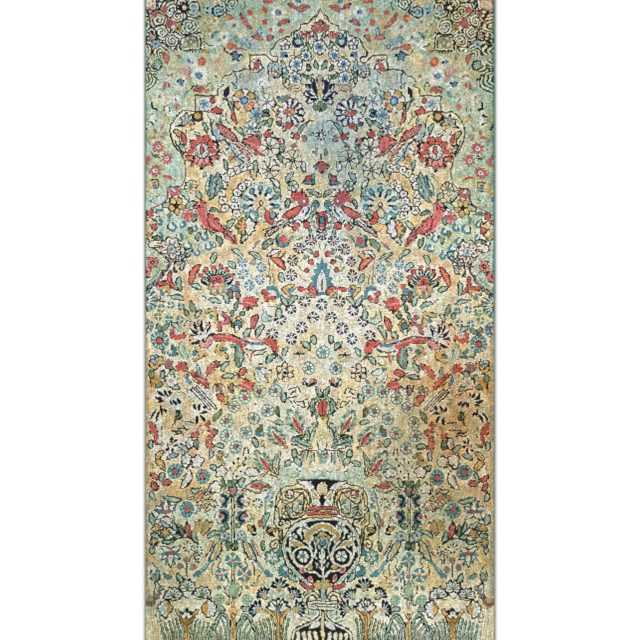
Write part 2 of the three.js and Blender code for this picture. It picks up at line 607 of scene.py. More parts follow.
def spandrel(chart: Chart) -> None:
    """Draws the flowers and red leaves on the mint ground outside the arch, down to its shoulder."""
    chart.lines(STRAW, 3.2, (66, 17, 65, 30, 62, 39, 58, 46, 57, 53), (66, 30, 73, 33, 86, 33),
            (28, 0, 30, 12, 33, 20, 30, 30), (118, 78, 108, 68, 100, 58, 97, 48),
            (127, 68, 112, 66, 96, 62), (104, 30, 97, 34, 90, 30), (150, 60, 141, 67, 132, 66),
            (108, 58, 100, 70, 96, 78), strength=0.8)
    chart.lines(GOLD, 1.6, (66, 17, 65, 30, 62, 39, 57, 52), (151, 92, 148, 98, 143, 93),
            (112, 66, 100, 58), (103, 62, 98, 53, 94, 56), (96, 28, 104, 33), (128, 96, 121, 94),
            strength=0.7)
    chart.flowers(WHITE, 6, (43, 13, 7), (140, 83, 7), (122, 76, 9), (130, 62, 7.5), (108, 45, 6),
            (87, 27, 4.5), (97, 38, 6), (161, 98, 6.5), (50, 30, 4.5), (25, 18, 3), (151, 76, 6),
            (146, 99, 4), depth=0.22, soft=3)
    chart.discs(BLUE, (43, 13, 2.8), (140, 83.5, 3), (123, 76, 3.4), (132, 61.5, 2), (23, 1, 2.6))
    chart.disc((23, 1), 1.8, TEAL)
    chart.discs(NAVY, (143, 82, 1.1), (137, 82.5, 1.1), (120, 76.5, 1.1), (128.5, 62.5, 1.1),
            (41.5, 13, 0.8), (21, 2, 1))
    chart.discs(MAUVE, (87, 27, 1.8), (97, 38, 1.6), (161.5, 97, 1.4), (153, 76, 1.2), (150, 76, 1.2),
            (23, 9, 1.6), (96, 98, 1.6))
    chart.flowers(CREAM, 5, (104, 5, 4.2), (117, 24, 3.4), (107, 22, 4), (112, 31, 3.8), (173, 64, 4),
            (116, 51, 3.4), (105, 77, 4), heart=AMBER, core=0.4, soft=2)
    chart.flowers(GOLD, 5, (104, 5, 2.6), (117, 24, 2.2), (107, 22, 2.4), (112, 31, 2.4), (116, 51, 2.4),
            heart=AMBER, core=0.45)
    chart.flowers(CORAL, 7, (119, 62, 4.8), (91, 18, 3.8), (91, 47, 4), heart=ORANGE, depth=0.15, core=0.6,
            soft=2)
    chart.discs(GOLD, (95, 18, 2.6), (59, 13, 2.6), (59, 23, 2), (71, 16, 1.6))
    chart.discs(CORAL, (56, 11, 2.6), (71, 13, 2.6), (56, 23, 2.8), (50, 30, 2), (142, 57, 2.1),
            (40, 31.5, 2.2))
    chart.leaves(CORAL, 6, (58, 3, 48, 3), (56, -4, 52, 5))
    chart.leaves(CORAL, 5, (81, 14, 68.5, 29.5), rim=MAUVE, bend=-0.08)
    chart.leaves(CORAL, 4.6, (42, 26, 31, 22), (54, 41.5, 47.5, 37), (68.5, 37.5, 60, 39),
            (33, 5.5, 25.5, 10.5), (22.5, 12.5, 11, 7), (159, 53, 153.5, 64), (127, 90.5, 115, 91),
            rim=MAUVE, bend=0.14)
    chart.leaves(ORANGE, 2.6, (64, 38, 59, 40), (156, 57, 153.5, 63.5), (119, 90, 113, 92))
    chart.discs(MOSS, (31.5, 22.5, 1.2), (48, 37, 1), (68.5, 37.5, 1), (159.5, 54, 1.1), (33.5, 5, 0.9))
    chart.leaves(TEAL, 4, (110, 39, 103, 32), (137, 97, 133, 91), (86, 43, 83, 35))
    chart.leaves(SKY, 3.6, (61, 36, 60, 29), (80, 45, 74, 40), (74, 46, 71, 48), rim=BLUE)
    chart.discs(SEA, (107, 52, 3), (112, 52, 2.4), (83, 40, 3), (69, 34, 2.6), (102, 40, 2.4), strength=0.8)
    chart.flowers(SKY, 5, (113, 10, 6), (78, 42, 4), (85, 57, 4.6), depth=0.2, soft=2)
    chart.leaves(NAVY, 2.2, (112, 14, 115, 12), (112, 8, 115, 10))
    chart.rings((103, 12), 6.5, (MOSS, SKY, TEAL, SKY))
    chart.petals((85, 57), 0, 4.2, 5, 2.2, BLUE, turn=90, rim=NAVY)
    chart.leaves(CORAL, 2.6, (91, 45, 84, 49))
    chart.leaves(ROSE, 2.2, (86, 48, 74, 51), (133, 71, 133.5, 80))
    chart.lines(PINK, 2.2, (142, 71, 137, 73, 132, 80), (137, 72, 134, 70))
    chart.leaves(ROSE, 3.6, (157, 82.5, 157, 90), (153.5, 83, 152.5, 88))
    chart.lines(MOSS, 1, (97, 49, 96, 53, 91, 56), (99, 48, 97, 52), (131, 90.5, 129, 88, 124, 86.5),
            (115, 87, 113, 83, 110, 84, 109, 91), (89, 53, 85, 51), (81, 55, 78, 57), (127, 92, 121, 92.5))


def corner_ornament(chart: Chart) -> None:
    """Draws the dark-lined scrolls and rosettes that fill the corner beside the arch."""
    chart.scrollwork([(182, -22), (122, -22), (121, 4), (120, 14), (124, 26), (120, 34), (118, 51),
            (160, 51.5), (160, 58), (166, 58), (182, 50)], [(132, 27), (148, 41), (170, 36), (150, 11),
            (163, 21), (176, 25), (129, 43), (110, -8), (132, -10), (152, -8), (170, -12), (127, 8),
            (140, 3), (137, 49), (160, 33), (178, 50), (160, 54), (143, 16)], CREAM)
    chart.scrollwork([(122, -22), (80, -22), (80, -2), (84, 10), (92, 13), (98, 18), (104, 16), (98, 8),
            (103, -4), (116, -5), (122, 2)], [(89, 4), (110, -12), (92, -14), (102, 6), (118, -2)],
            PALE_MINT)
    chart.scrollwork([(182, 56), (173, 58), (171, 66), (160, 62), (155, 68), (166, 72), (163, 80),
            (168, 90), (182, 96)], [(178, 80), (165, 65), (176, 60)], PALE_MINT)
    chart.ground([(178, -2), (166, -2), (165.5, 11), (178, 12)], WHITE)
    chart.ground([(178, 0), (167.5, -1), (167, 9.5), (178, 10.5)], ORANGE, soft=1)
    chart.flower((172, 4.5), 4.5, 6, CREAM, heart=STRAW)
    chart.lines(BLACK, 1, (178, 12.5, 171, 10.5, 166, 10.5, 165, 4, 165.5, -3), (163, 5, 163, 13))
    chart.petals((137, 8), 2.2, 6.6, 8, 2.6, BLACK, turn=22)
    chart.petals((168, 37), 2.4, 6, 8, 1.8, BLACK, turn=0)
    chart.disc((168, 37), 2, PINK)
    chart.petals((178, 43), 2.4, 6, 8, 2, BLACK, turn=20)
    chart.flower((165, 44.5), 4.2, 6, SKY, heart=TEAL)
    chart.flower((150.5, 24.5), 5.4, 5, CORAL, depth=0.25, turn=20, gaps=MAUVE)
    chart.disc((148, 28), 2.2, WHITE)
    chart.disc((143, 28), 3.4, AMBER)
    chart.discs(BLACK, (143.5, 29, 1.2), (146.5, 32, 1.3), (124, 2.5, 1.2), (127, 3, 1.2), (121, 17, 1.2))
    chart.discs(ROSE, (156.5, 10, 3.2), (167, 15, 2.6), (171, 21, 1.4))
    chart.disc((158, 9.5), 1.6, CORAL)
    chart.flower((127, 11), 4, 6, SKY, heart=BLUE)
    chart.flower((163.5, 65), 4.2, 8, MINT, heart=PALE_MINT, rim=MOSS, gaps=SEA)
    chart.ground([(139, 36), (122, 36), (120.5, 39), (120.5, 50), (139, 50)], CREAM)
    chart.ground([(138, 37), (123, 37), (122, 41), (122, 49), (138, 49)], OLIVE, soft=1, strength=0.55)
    chart.flower((130, 43), 4.4, 4, GREEN, heart=STRAW, depth=0.2)
    chart.discs(STRAW, (137, 8, 2.2), (135, 45, 2), (126, 46, 2), (133, 39, 1.5))
    chart.lines(MOSS, 1.1, (139, 35, 130, 34.5, 124, 35, 121, 38, 120.6, 50),
            (139, 35, 139.5, 50, 120, 50.5), (137, 37, 126, 37, 123, 40, 122.5, 47))
    chart.lines(CREAM, 1, (119, 36, 118, 44, 118.4, 50))
    for v in range(36, 52, 3):
        chart.disc((117.5, v), 0.8, MOSS)
    for u in range(119, 140, 3):
        chart.disc((u, 52.6), 0.8, MOSS)



def arch_line(chart: Chart) -> None:
    """Draws the stepped, cusped line of the arch, dark at its crown and paler down its sides."""
    crown = (0, 9, 4, 16, 9, 18, 11, 23, 19, 26, 21, 30, 29, 32.5, 31, 36, 39, 38.5, 44, 42, 46, 47, 50, 51,
            49, 57, 44, 57.5, 43, 62, 47, 63, 51, 60, 55, 56.5, 62, 56, 71, 56)
    chart.lines(STRAW, 2.6, (2, 13, 10, 20, 22, 27, 34, 34, 45, 42, 51, 50), strength=0.5)
    chart.lines(INK, 1.3, crown, (71, 56, 71, 63), (71, 62, 71, 70.5), (70, 70.5, 79, 70, 88, 71.5),
            strength=0.9)
    chart.lines(INK, 1.2, (88, 71.5, 91, 76, 97, 77, 100, 83, 97, 85.5, 102, 88),
            (103, 88, 104, 92, 104, 96), (104, 96, 115, 95.5, 126, 96), (126, 96, 126, 104, 126, 111),
            (126, 111, 132, 111.5, 139, 111), (87, 73, 84, 79, 86, 85, 89, 83), strength=0.85)
    chart.lines(INK, 1.4, (139, 111, 143, 115, 147, 121, 150, 128, 151, 132, 150, 138, 147, 144, 144, 149,
            141, 153), strength=0.9)
    chart.lines(INK, 1.2, (146, 141, 143, 147, 138, 155), strength=0.8)
    chart.lines(BROWN, 1.5, (141, 153, 138, 157, 136, 163, 135, 168, 135, 176, 136, 181, 139, 185, 143, 187,
            151, 187), (153.5, 193, 153.5, 197, 155, 201, 159, 204), strength=0.8)


def crown(chart: Chart) -> None:
    """Draws the tulips, cornflowers and leaves under the arch's crown."""
    chart.lines(OLIVE, 0.9, (26, 44, 27, 58, 26, 72), (11, 41, 17, 47, 20, 52),
            (2, 53, 9, 60, 14, 70, 22, 76), (38, 60, 40, 70, 38, 84, 33, 90), (30, 57, 22, 57),
            (53, 66, 53, 74, 51, 80), (2, 58, 6, 60))
    chart.tulip((0, 32), 11, 0, CORAL, rim=CREAM)
    chart.leaves(CORAL, 4.4, (1.5, 31, 9, 26.5), rim=MAUVE, bend=0.15)
    chart.leaves(MAUVE, 1.2, (0.8, 27, 0.8, 22))
    chart.lines(BLACK, 0.9, (3, 12, 8, 17.5, 8, 20, 5, 19))
    chart.tulip((14, 39.5), 8, 0, CORAL, rim=CREAM)
    chart.leaves(SEA, 3.6, (2, 40, 6, 33), (1.5, 69, 6, 61), (9, 49, 14, 43), (39, 78, 33, 71),
            (38, 84, 35, 78), rim=MOSS)
    chart.leaves(GREEN, 2.2, (10, 70, 13, 65), (11, 80, 18, 73.5), rim=MOSS)
    chart.ground([(0, 53), (8, 53), (8, 59), (0, 62)], STRAW, soft=2, strength=0.8)
    for at, radius in (((0, 47.5), 7), ((15, 56), 5.4), ((25, 65), 6.4), ((26, 79), 6.6)):
        chart.disc(at, radius + 0.5, MOSS, strength=0.7)
        chart.petals(at, 1.5, radius, 8, radius * 0.62, WHITE, turn=0)
        chart.petals(at, 0.5, radius * 0.7, 8, radius * 0.28, BLUE, turn=22)
        chart.disc(at, radius * 0.3, BLUE)
        chart.disc(at, radius * 0.14, NAVY)
    chart.rings((23, 42), 6, (TEAL, TEAL, CREAM, MINT))
    chart.lines(NAVY, 2, (28, 38, 28, 43, 24, 47, 18, 45))
    chart.leaves(SKY, 2.2, (25, 39, 26, 33), (21, 39, 22, 33), rim=MOSS)
    chart.flower((36, 45), 5, 5, WHITE, heart=MAUVE, rim=MOSS, turn=20, gaps=MOSS)
    chart.ground([(40, 52), (34, 52), (33, 58), (40, 58)], BLUE, soft=1)
    chart.disc((34.5, 56.5), 2, NAVY)
    chart.leaf((37, 74), (38, 60), 4.2, SKY, rim=MOSS)
    chart.flower((46, 71.5), 6, 5, CREAM, rim=MOSS, depth=0.15)
    chart.discs(SKY, (49, 67.5, 3), (42.5, 67.5, 3))
    chart.lines(MOSS, 1, (49, 69, 49, 74, 46, 77, 43.5, 74, 43.5, 69))
    chart.flower((65, 66), 6, 4, CREAM, depth=0.1)
    chart.leaf((67.5, 70.5), (62.5, 63.5), 5, CORAL, rim=ROSE)
    chart.lines(BLACK, 1.3, (68, 60, 64, 61.5, 61, 62), (61, 64, 58.5, 66, 57, 69))
    chart.leaves(STRAW, 5, (34, 88, 18, 86), (33, 91, 20, 90))
    chart.petals((0, 94), 5, 16, 9, 5, WHITE, turn=90, spread=250, rim=MOSS)
    chart.leaves(NAVY, 6, (4.5, 95, 6, 80))
    chart.leaves(NAVY, 3.8, (5, 97.5, 15, 92), (10, 90, 12, 84))
    chart.leaves(NAVY, 2.8, (1, 99.6, 12, 99))
    chart.leaf((0, 98), (0, 81), 6.4, GOLD)
    chart.lines(STRAW, 1, (0, 96, 0, 84))
    chart.disc((0, 79), 3, GREY, rim=MOSS)


def shoulder(chart: Chart) -> None:
    """Draws the rose rosettes and small sprigs on the mint ground beside the arch's cusps."""
    chart.ground([(152, 140), (142, 150), (138, 172), (139, 184), (154, 186), (160, 165)], PALE_MINT,
            soft=8, strength=0.7)
    chart.ground([(184, 96), (173, 96), (173, 196), (184, 196)], OLIVE, soft=4, strength=0.25)
    chart.lines(STRAW, 2, (155, 90, 154, 100, 156, 112, 155, 122), (160, 118, 150, 119), strength=0.8)
    chart.discs(GOLD, (155, 118, 3.4), (133, 100, 2.6), (157, 150, 2), (152, 121, 2), strength=0.7)
    chart.lines(NAVY, 1.9, (168.5, 107, 168, 103), (169, 108.5, 164.5, 109.5), (170.5, 121, 168, 124),
            (166, 118, 165.5, 121), (171, 116, 169, 114), (177, 123, 174.5, 129))
    chart.flowers(WHITE, 5, (168, 119, 4), (154, 109, 2.6))
    chart.disc((145, 106), 2.6, ORANGE)
    chart.leaves(CORAL, 2.4, (172, 138, 165, 138), (160, 131, 156.5, 126), (160, 136.5, 155.5, 139.5),
            (158, 176, 146, 180), (159, 177, 150, 178))
    chart.leaves(MAUVE, 2, (166, 129, 166, 134))
    chart.leaves(SEA, 2.6, (159, 134, 154, 134), (176, 137, 171, 146), (137, 97, 135, 92))
    for at in ((163, 147), (154, 159), (166, 171), (177, 161)):
        chart.petals(at, 1.8, 6.2, 9, 2.6, ROSE, turn=0)
        chart.disc(at, 2.2, WHITE)
        chart.disc(at, 1.2, TEAL)
    chart.leaves(BROWN, 2, (170, 153, 160, 157), bend=-0.25)
    chart.leaves(MOSS, 1.4, (166, 156, 161, 155))
    chart.rings((168, 184), 5, (GOLD, STRAW), tall=0.9)
    chart.disc((166, 186), 2.2, BLUE)
    chart.lines(MOSS, 1, (156.5, 107, 156.5, 111), (152, 107.5, 151.5, 111), (155, 114, 155, 117),
            (146, 98, 145, 101), (170, 180, 163, 180, 163, 188, 168, 189), (168, 183, 165, 183))
    chart.disc((172, 185), 2.2, GOLD)


def cusps(chart: Chart) -> None:
    """Draws the arch line round its cusps and the flowers just inside them."""
    chart.lines(CREAM, 1.4, (138, 113.5, 143, 118, 147, 124, 148, 131, 147.5, 136, 140, 150, 136.5, 156))
    chart.flower((117, 104), 7, 6, WHITE, depth=0.2)
    chart.flower((117, 104), 5.4, 5, SKY, heart=BLUE, depth=0.25)
    chart.disc((109, 100.5), 2.2, CORAL, rim=MAUVE)
    chart.ground([(114, 112), (108, 109), (108, 107.5), (105, 105), (103, 108), (99, 109), (100, 112),
            (98, 114), (103, 115), (106, 113)], MAUVE, soft=1)
    chart.ground([(112, 111.5), (108, 109.5), (105.5, 106), (104, 109), (100, 110), (101, 113.5),
            (106, 112.5)], CORAL)
    chart.discs(MOSS, (99, 110.5, 0.9), (98.5, 116, 0.9), (109, 108, 0.7))
    chart.lines(PALE_MINT, 5, (105, 122, 107, 130, 103, 138, 96, 144, 90, 148))
    chart.rings((123, 116), 4.6, (BROWN, GOLD, GOLD))
    chart.lines(BLACK, 1.8, (127.5, 115, 127, 119, 123, 121.5, 119, 120))
    chart.petals((134, 122), 0, 7, 5, 3.4, GREY, turn=100, spread=220, rim=MOSS)
    chart.lines(MAUVE, 1.2, (137, 117, 136, 121), (133, 116, 133, 121))
    chart.leaves(BLACK, 1.8, (145.5, 127, 138, 127.5))
    chart.lines(GOLD, 1.8, (139, 129, 134, 126.5, 126, 125), (134, 126.5, 130, 122), (134, 126.5, 128, 130),
            strength=0.8)
    chart.leaves(GOLD, 5, (147, 131, 141, 138), rim=OLIVE)
    chart.leaves(CORAL, 3.8, (139.5, 134, 137, 146), rim=MAUVE)
    chart.leaves(SEA, 3.4, (142, 145, 137.5, 153), (119, 123, 114, 133), (98, 160, 95, 170),
            (94, 101, 90, 111), rim=MOSS)
    chart.lines(MOSS, 1.1, (114, 115, 110.5, 121, 110, 130, 107, 136, 101, 142), (102, 114, 100, 121),
            (116, 111, 112, 112.5), (101, 118, 99, 124), (96, 113, 95, 119, 92, 124), (136, 131, 135, 135),
            (131, 131, 127, 129), (127, 132, 122, 134), (128, 134, 124, 136), (142, 138, 141, 145),
            (117, 130, 113, 137))
    chart.lines(STRAW, 9, (129, 168, 127, 178, 124, 192), strength=0.8)
    chart.lines(GOLD, 3, (122, 176, 121, 190), strength=0.6)
    chart.flower((130, 187), 6, 8, STRAW, heart=TEAL, rim=MOSS, core=0.3, gaps=OLIVE)
    chart.flower((98, 146), 5, 5, CREAM, heart=STRAW, rim=BLACK, depth=0.2, core=0.5)
    chart.lines(BLACK, 1.3, (104, 143, 101, 146, 103, 150), (98, 152, 96, 155), (94, 142, 91, 146, 93, 149))



def red_palmette(chart: Chart) -> None:
    """Draws the large red palmette with its open heart and its fan of long petals."""
    at = u, v = (119, 151)
    chart.disc(at, 9, IVORY)
    chart.petals(at, 6, 18, 7, 5.6, PINK, turn=270, spread=190, rim=IVORY)
    chart.petals(at, 12, 18, 7, 3.8, CORAL, turn=270, spread=190)
    chart.petals(at, 5, 16, 6, 1, INK, turn=270, spread=158)
    for side in (-1, 1):
        chart.lines(INK, 1.8, (u + 7 * side, v + 8, u + 8.5 * side, v + 11.5, u + 9.5 * side, v + 13))
        chart.lines(INK, 1.2, (u + 17.5 * side, v + 5, u + 12 * side, v + 4.5, u + 7 * side, v + 6.5),
                (u + 19 * side, v + 2, u + 15 * side, v + 1.5))
    chart.disc((u, v + 18.5), 1.5, INK)
    chart.petals(at, 7.5, 15, 6, 6.2, CORAL, turn=90, spread=186, rim=IVORY)
    chart.petals(at, 8.5, 12.5, 6, 1.6, ROSE, turn=90, spread=186)
    chart.petals(at, 7, 13, 5, 1, MOSS, turn=90, spread=150)
    chart.lines(INK, 1.8, (u - 11, v - 9, u - 15, v - 7, u - 16, v - 2))
    chart.disc(at, 6.8, WHITE, rim=MOSS)
    chart.petals(at, 4.5, 7.2, 7, 2.2, SEA, turn=270, spread=200)
    chart.leaf((u, v + 3.5), (u, v - 5.5), 4.2, CORAL, rim=MOSS)


def crown_sides(chart: Chart) -> None:
    """Draws the wheel flower, the pale rosettes and the navy palmette at each side of the crown."""
    chart.leaf((96, 98), (92, 86.5), 6.5, NAVY)
    chart.disc((96, 98.5), 1.6, MAUVE)
    for at, radius, silk in (((64, 98), 7, PALE_MINT), ((55, 102), 8, WHITE), ((65, 115), 6.6, SKY),
            ((70, 128), 6.8, WHITE)):
        chart.flower(at, radius, 7, silk, depth=0.25, gaps=MOSS, turn=40)
        chart.petals(at, 1.5, radius * 0.8, 7, 1.1, BLUE, turn=66)
        chart.disc(at, 1.4, BLUE)
    wheel = (77, 101)
    chart.disc(wheel, 11.5, MOSS, strength=0.8)
    chart.petals(wheel, 3, 11.3, 4, 8.4, WHITE, turn=80)
    chart.petals(wheel, 5, 11.3, 4, 7.2, GOLD, turn=35, rim=BROWN)
    chart.disc((69, 104), 2.8, ORANGE)
    chart.disc(wheel, 5.6, WHITE)
    chart.petals(wheel, 0, 5, 8, 2.2, BLUE, turn=0)
    chart.petals(wheel, 3, 5, 8, 1.5, NAVY, turn=22)
    chart.disc(wheel, 2, SKY, strength=0.8)
    chart.lines(STRAW, 7, (78, 112, 77, 120, 82, 126), strength=0.8)
    chart.leaves(CORAL, 4.2, (88, 110, 84, 124), rim=BROWN, bend=-0.12)
    chart.leaves(SEA, 4.2, (86, 128, 77, 136), (65, 128, 53, 121), (53, 127, 48, 118), (66, 132, 60, 137),
            (56, 145, 50, 139), (47, 139, 43, 147), (41, 154, 36, 147), (43, 155, 40, 163), rim=MOSS)
    chart.leaves(TEAL, 2, (58, 112, 51, 111), (59, 116, 51, 115), (44, 122, 41, 126), rim=MOSS)
    chart.leaves(SEA, 6.4, (46, 99, 31, 94), bend=-0.2, teeth=4)
    chart.leaves(TEAL, 2, (45, 98, 33, 96), bend=-0.2)
    chart.leaves(SKY, 5, (37, 100, 25, 101), bend=-0.1, teeth=3)
    chart.lines(MOSS, 1.1, (48, 104, 43, 106, 42, 112, 45, 117), (45, 104, 48, 109, 44, 114),
            (48, 97, 47, 102), (15, 123, 11, 121, 7, 122))
    palmette = (30, 113)
    chart.petals(palmette, 4, 13.5, 11, 5.2, WHITE, turn=0, rim=MAUVE)
    chart.petals(palmette, 7, 13.5, 7, 2.6, NAVY, turn=16, spread=200)
    chart.petals(palmette, 4.4, 8, 10, 1.5, NAVY, turn=18)
    chart.leaf((38, 113), (23, 113), 8, WHITE, rim=NAVY)
    chart.discs(CORAL, (34, 113, 2.8), (38, 145, 1.2))
    chart.rings((28.5, 113), 3, (AMBER, ORANGE, WHITE))
    chart.discs(CORAL, (33, 126, 3), (54, 135, 3), (24, 137, 3), rim=MAUVE)
    chart.leaves(BLACK, 2.2, (38, 130, 37, 125), (38.5, 132, 34, 130), (55, 131.5, 50, 129.5),
            (49, 136.5, 48, 131), (31, 136, 27, 133), (31, 137.5, 27, 141), (44.5, 143, 42, 138),
            (36, 143, 38, 138))
    chart.leaves(SEA, 3.8, (23, 135, 14.5, 123.5), rim=MOSS)
    chart.leaves(GOLD, 4, (20, 136, 14, 142))
    chart.leaves(ROSE, 4.2, (40.5, 145.5, 40.5, 139), (29, 150, 25, 143))
    chart.ground([(79, 140.5), (74, 138), (70, 137), (65, 136), (61, 140), (58, 145), (60, 150),
            (67, 150.5), (72, 148), (70.5, 145), (76, 144)], CORAL, soft=0.8)
    chart.lines(PINK, 1.2, (76, 141, 68, 145, 61, 149), (70, 139, 68, 144), (64, 139, 65, 146),
            (74, 143, 68, 147), (67, 138, 66, 142), (63, 142, 62, 147), strength=0.8)
    chart.lines(MOSS, 1.2, (65, 137, 62, 139.5), (60, 142, 59, 147), (79, 140, 75, 139.5),
            (76, 146, 74, 144))
    chart.leaves(CORAL, 3, (66.5, 154, 59, 156), rim=MAUVE)
    for at, silk in (((51, 148), CREAM), ((52, 169.5), CREAM), ((29, 160), IVORY)):
        chart.flower(at, 9.6, 8, silk, depth=0.18, gaps=INK, turn=10)
        chart.petals(at, 5, 7.4, 8, 1.4, MAUVE, turn=32)
        chart.disc(at, 1.8, silk)
        chart.petals(at, 0.5, 3, 5, 1.3, INK, turn=38)
    chart.leaves(MINT, 8.6, (67, 180, 66, 161), rim=MOSS, bend=0.05, teeth=5)
    chart.leaves(SKY, 4, (69, 177, 69, 166), strength=0.7)
    chart.leaves(WHITE, 4.6, (17, 171, 17, 161.5), (49, 180, 42, 189), rim=MOSS)
    chart.leaves(SKY, 5, (34.5, 183, 28, 172.5), rim=MOSS)
    chart.leaves(BLUE, 4, (19.5, 183, 6, 184), (8.5, 184, 7.5, 173), rim=TEAL)
    chart.leaves(NAVY, 1.4, (9.5, 183, 9.5, 174))
    chart.flower((28, 186), 5, 5, PALE_MINT, rim=MOSS)
    chart.leaves(GREEN, 4, (2, 111, 0, 102), (4, 110, 6, 104), rim=OLIVE)
    chart.ground([(0, 122), (14, 126), (16, 140), (8, 148), (0, 148)], SKY, soft=6, strength=0.45)
    chart.wheel((0, 135.5), 3, 5.6, 9, INK, 1.6, turn=10, strength=1)
    chart.disc((0, 135.5), 2, IVORY)
    chart.leaves(BLUE, 4.2, (0, 173, 8, 166), rim=SKY, bend=-0.2)
    chart.leaves(NAVY, 1.6, (0, 174, 0, 169))
    chart.discs(CORAL, (13.2, 179, 2.8), (0, 166, 3.8), rim=MAUVE)


def red_bird(chart: Chart) -> None:
    """Draws the red-winged bird that flies down towards the middle, with its striped tail."""
    chart.lines(SKY, 5, (90, 146, 88, 152, 80, 161), (103, 125, 106, 131, 102, 138))
    chart.lines(MOSS, 1, (92, 144, 89, 149, 85, 156, 77, 163), (86, 141, 77, 148, 69, 157),
            (84, 140.5, 75, 146, 68, 153), (88, 143, 80, 150, 73, 160), (82, 148, 79, 153, 82, 157))
    chart.lines(PINK, 2, (84, 145, 76, 150, 71, 156), (80, 150, 76, 155, 74, 159))
    chart.lines(MAUVE, 1, (79, 149, 77, 155, 73, 158))
    chart.lines(CORAL, 9, (105, 125, 99, 130, 92, 135, 84, 141), shape=Shape.LEAF, rim=BROWN)
    for share in np.linspace(0.15, 0.85, 8):
        u, v = 104 - 18 * share, 126 + 14 * share
        chart.lines(PINK, 0.9, (u + 1.5, v + 2.5, u - 1.5, v - 2))
        chart.lines(BROWN, 0.8, (u + 0.2, v + 3, u - 2.6, v - 1.6))
    chart.leaves(ORANGE, 4, (93, 160, 86, 158), rim=BROWN)
    chart.lines(GOLD, 1.6, (93, 163, 86, 163), (92, 153, 93, 162))


def gold_branches(chart: Chart) -> None:
    """Lays the tree's broad soft gold branches and the warm ground round them."""
    for outline, silk, strength in (([(150, 196), (122, 192), (100, 200), (88, 216), (94, 232), (84, 250),
            (100, 262), (126, 262), (134, 240), (128, 226), (120, 204), (134, 204)], STRAW, 0.8),
            ([(66, 214), (55, 214), (52, 230), (28, 226), (20, 240), (36, 262), (42, 284), (52, 290),
            (56, 262), (94, 262), (104, 258), (90, 236), (68, 236)], STRAW, 0.85), ([(96, 174), (90, 182),
            (92, 204), (86, 216), (80, 222), (84, 204), (84, 186), (90, 172)], GOLD, 0.5)):
        chart.ground(outline, silk, soft=4, strength=strength)
    chart.lines(PEACH, 5, (60, 213, 60, 228, 66, 238, 80, 246, 98, 252, 120, 256),
            (118, 200, 104, 204, 96, 214, 93, 226), (98, 252, 118, 262, 134, 262), strength=0.9)
    chart.lines(PEACH, 3.4, (88, 250, 70, 252, 52, 256, 44, 272), (66, 238, 60, 250), (40, 238, 30, 232),
            (134, 202, 122, 200), (92, 240, 84, 247), (50, 256, 40, 250, 34, 240), strength=0.88)


def band_of_lobes(chart: Chart) -> None:
    """Draws the two bands of pale dark-edged lobes that curl round the teal fan."""
    chart.lines(PEACH, 6, (64, 177, 76, 176, 86, 180, 92, 188, 94, 198, 93, 211), strength=0.8)
    for u, v, turn in ((72, 167, 100), (78, 168, 105), (84, 170, 115), (90, 173, 130), (95, 178, 145),
            (98, 185, 165), (99, 193, 180), (98, 201, 190), (96, 209, 200), (74, 184, 110), (79, 187, 135),
            (84, 193, 155), (86, 200, 175), (86, 207, 185), (84, 214, 200)):
        chart.flower((u, v), 3.9, 5, WHITE if turn % 2 else CREAM, rim=MOSS, depth=0.25, turn=turn)
        chart.line(placed((u, v), [(-1, 1.4), (0, -1), (1.4, 0)], turn), 0.9, MOSS)
    chart.leaves(SEA, 10.5, (112, 200, 103, 172), rim=INK, bend=-0.12, teeth=7)
    chart.leaves(TEAL, 5.4, (114, 195, 109, 176), bend=-0.12)
    chart.leaves(SKY, 3, (111, 194, 106, 178), bend=-0.12)
    chart.lines(MOSS, 1, (106, 196, 104, 184, 101, 176), (107, 190, 103, 186), (106, 184, 102, 180))
    chart.lines(TEAL, 1.2, (116, 194, 115, 184, 110, 175), (110, 184, 106, 176))


def teal_fan(chart: Chart) -> None:
    """Draws the great teal fan with its black drops, peach heart and olive calyx."""
    at = u, v = (60, 204)
    chart.disc((u, v - 1), 19.5, PALE_MINT)
    chart.disc((u, v - 1), 17.5, WHITE, strength=0.7)
    chart.petals(at, 11.8, 18.8, 7, 6, TEAL, turn=90, spread=202)
    chart.petals(at, 13.5, 18, 7, 1.6, SEA, turn=90, spread=202)
    chart.petals(at, 7.5, 12.8, 7, 2.5, BLACK, turn=90, spread=194)
    chart.disc(at, 6.8, PEACH)
    chart.leaf((u, v + 14), (u, v + 2), 12, OLIVE)
    chart.leaf((u, v + 14), (u, v + 3), 8, STRAW)
    chart.rings((u, v), 2.6, (INK, WHITE), tall=1.2)
    chart.petals((69, 217), 1, 5.8, 7, 3, SEA, turn=100, rim=TEAL)
    chart.disc((69, 217), 2.4, WHITE)


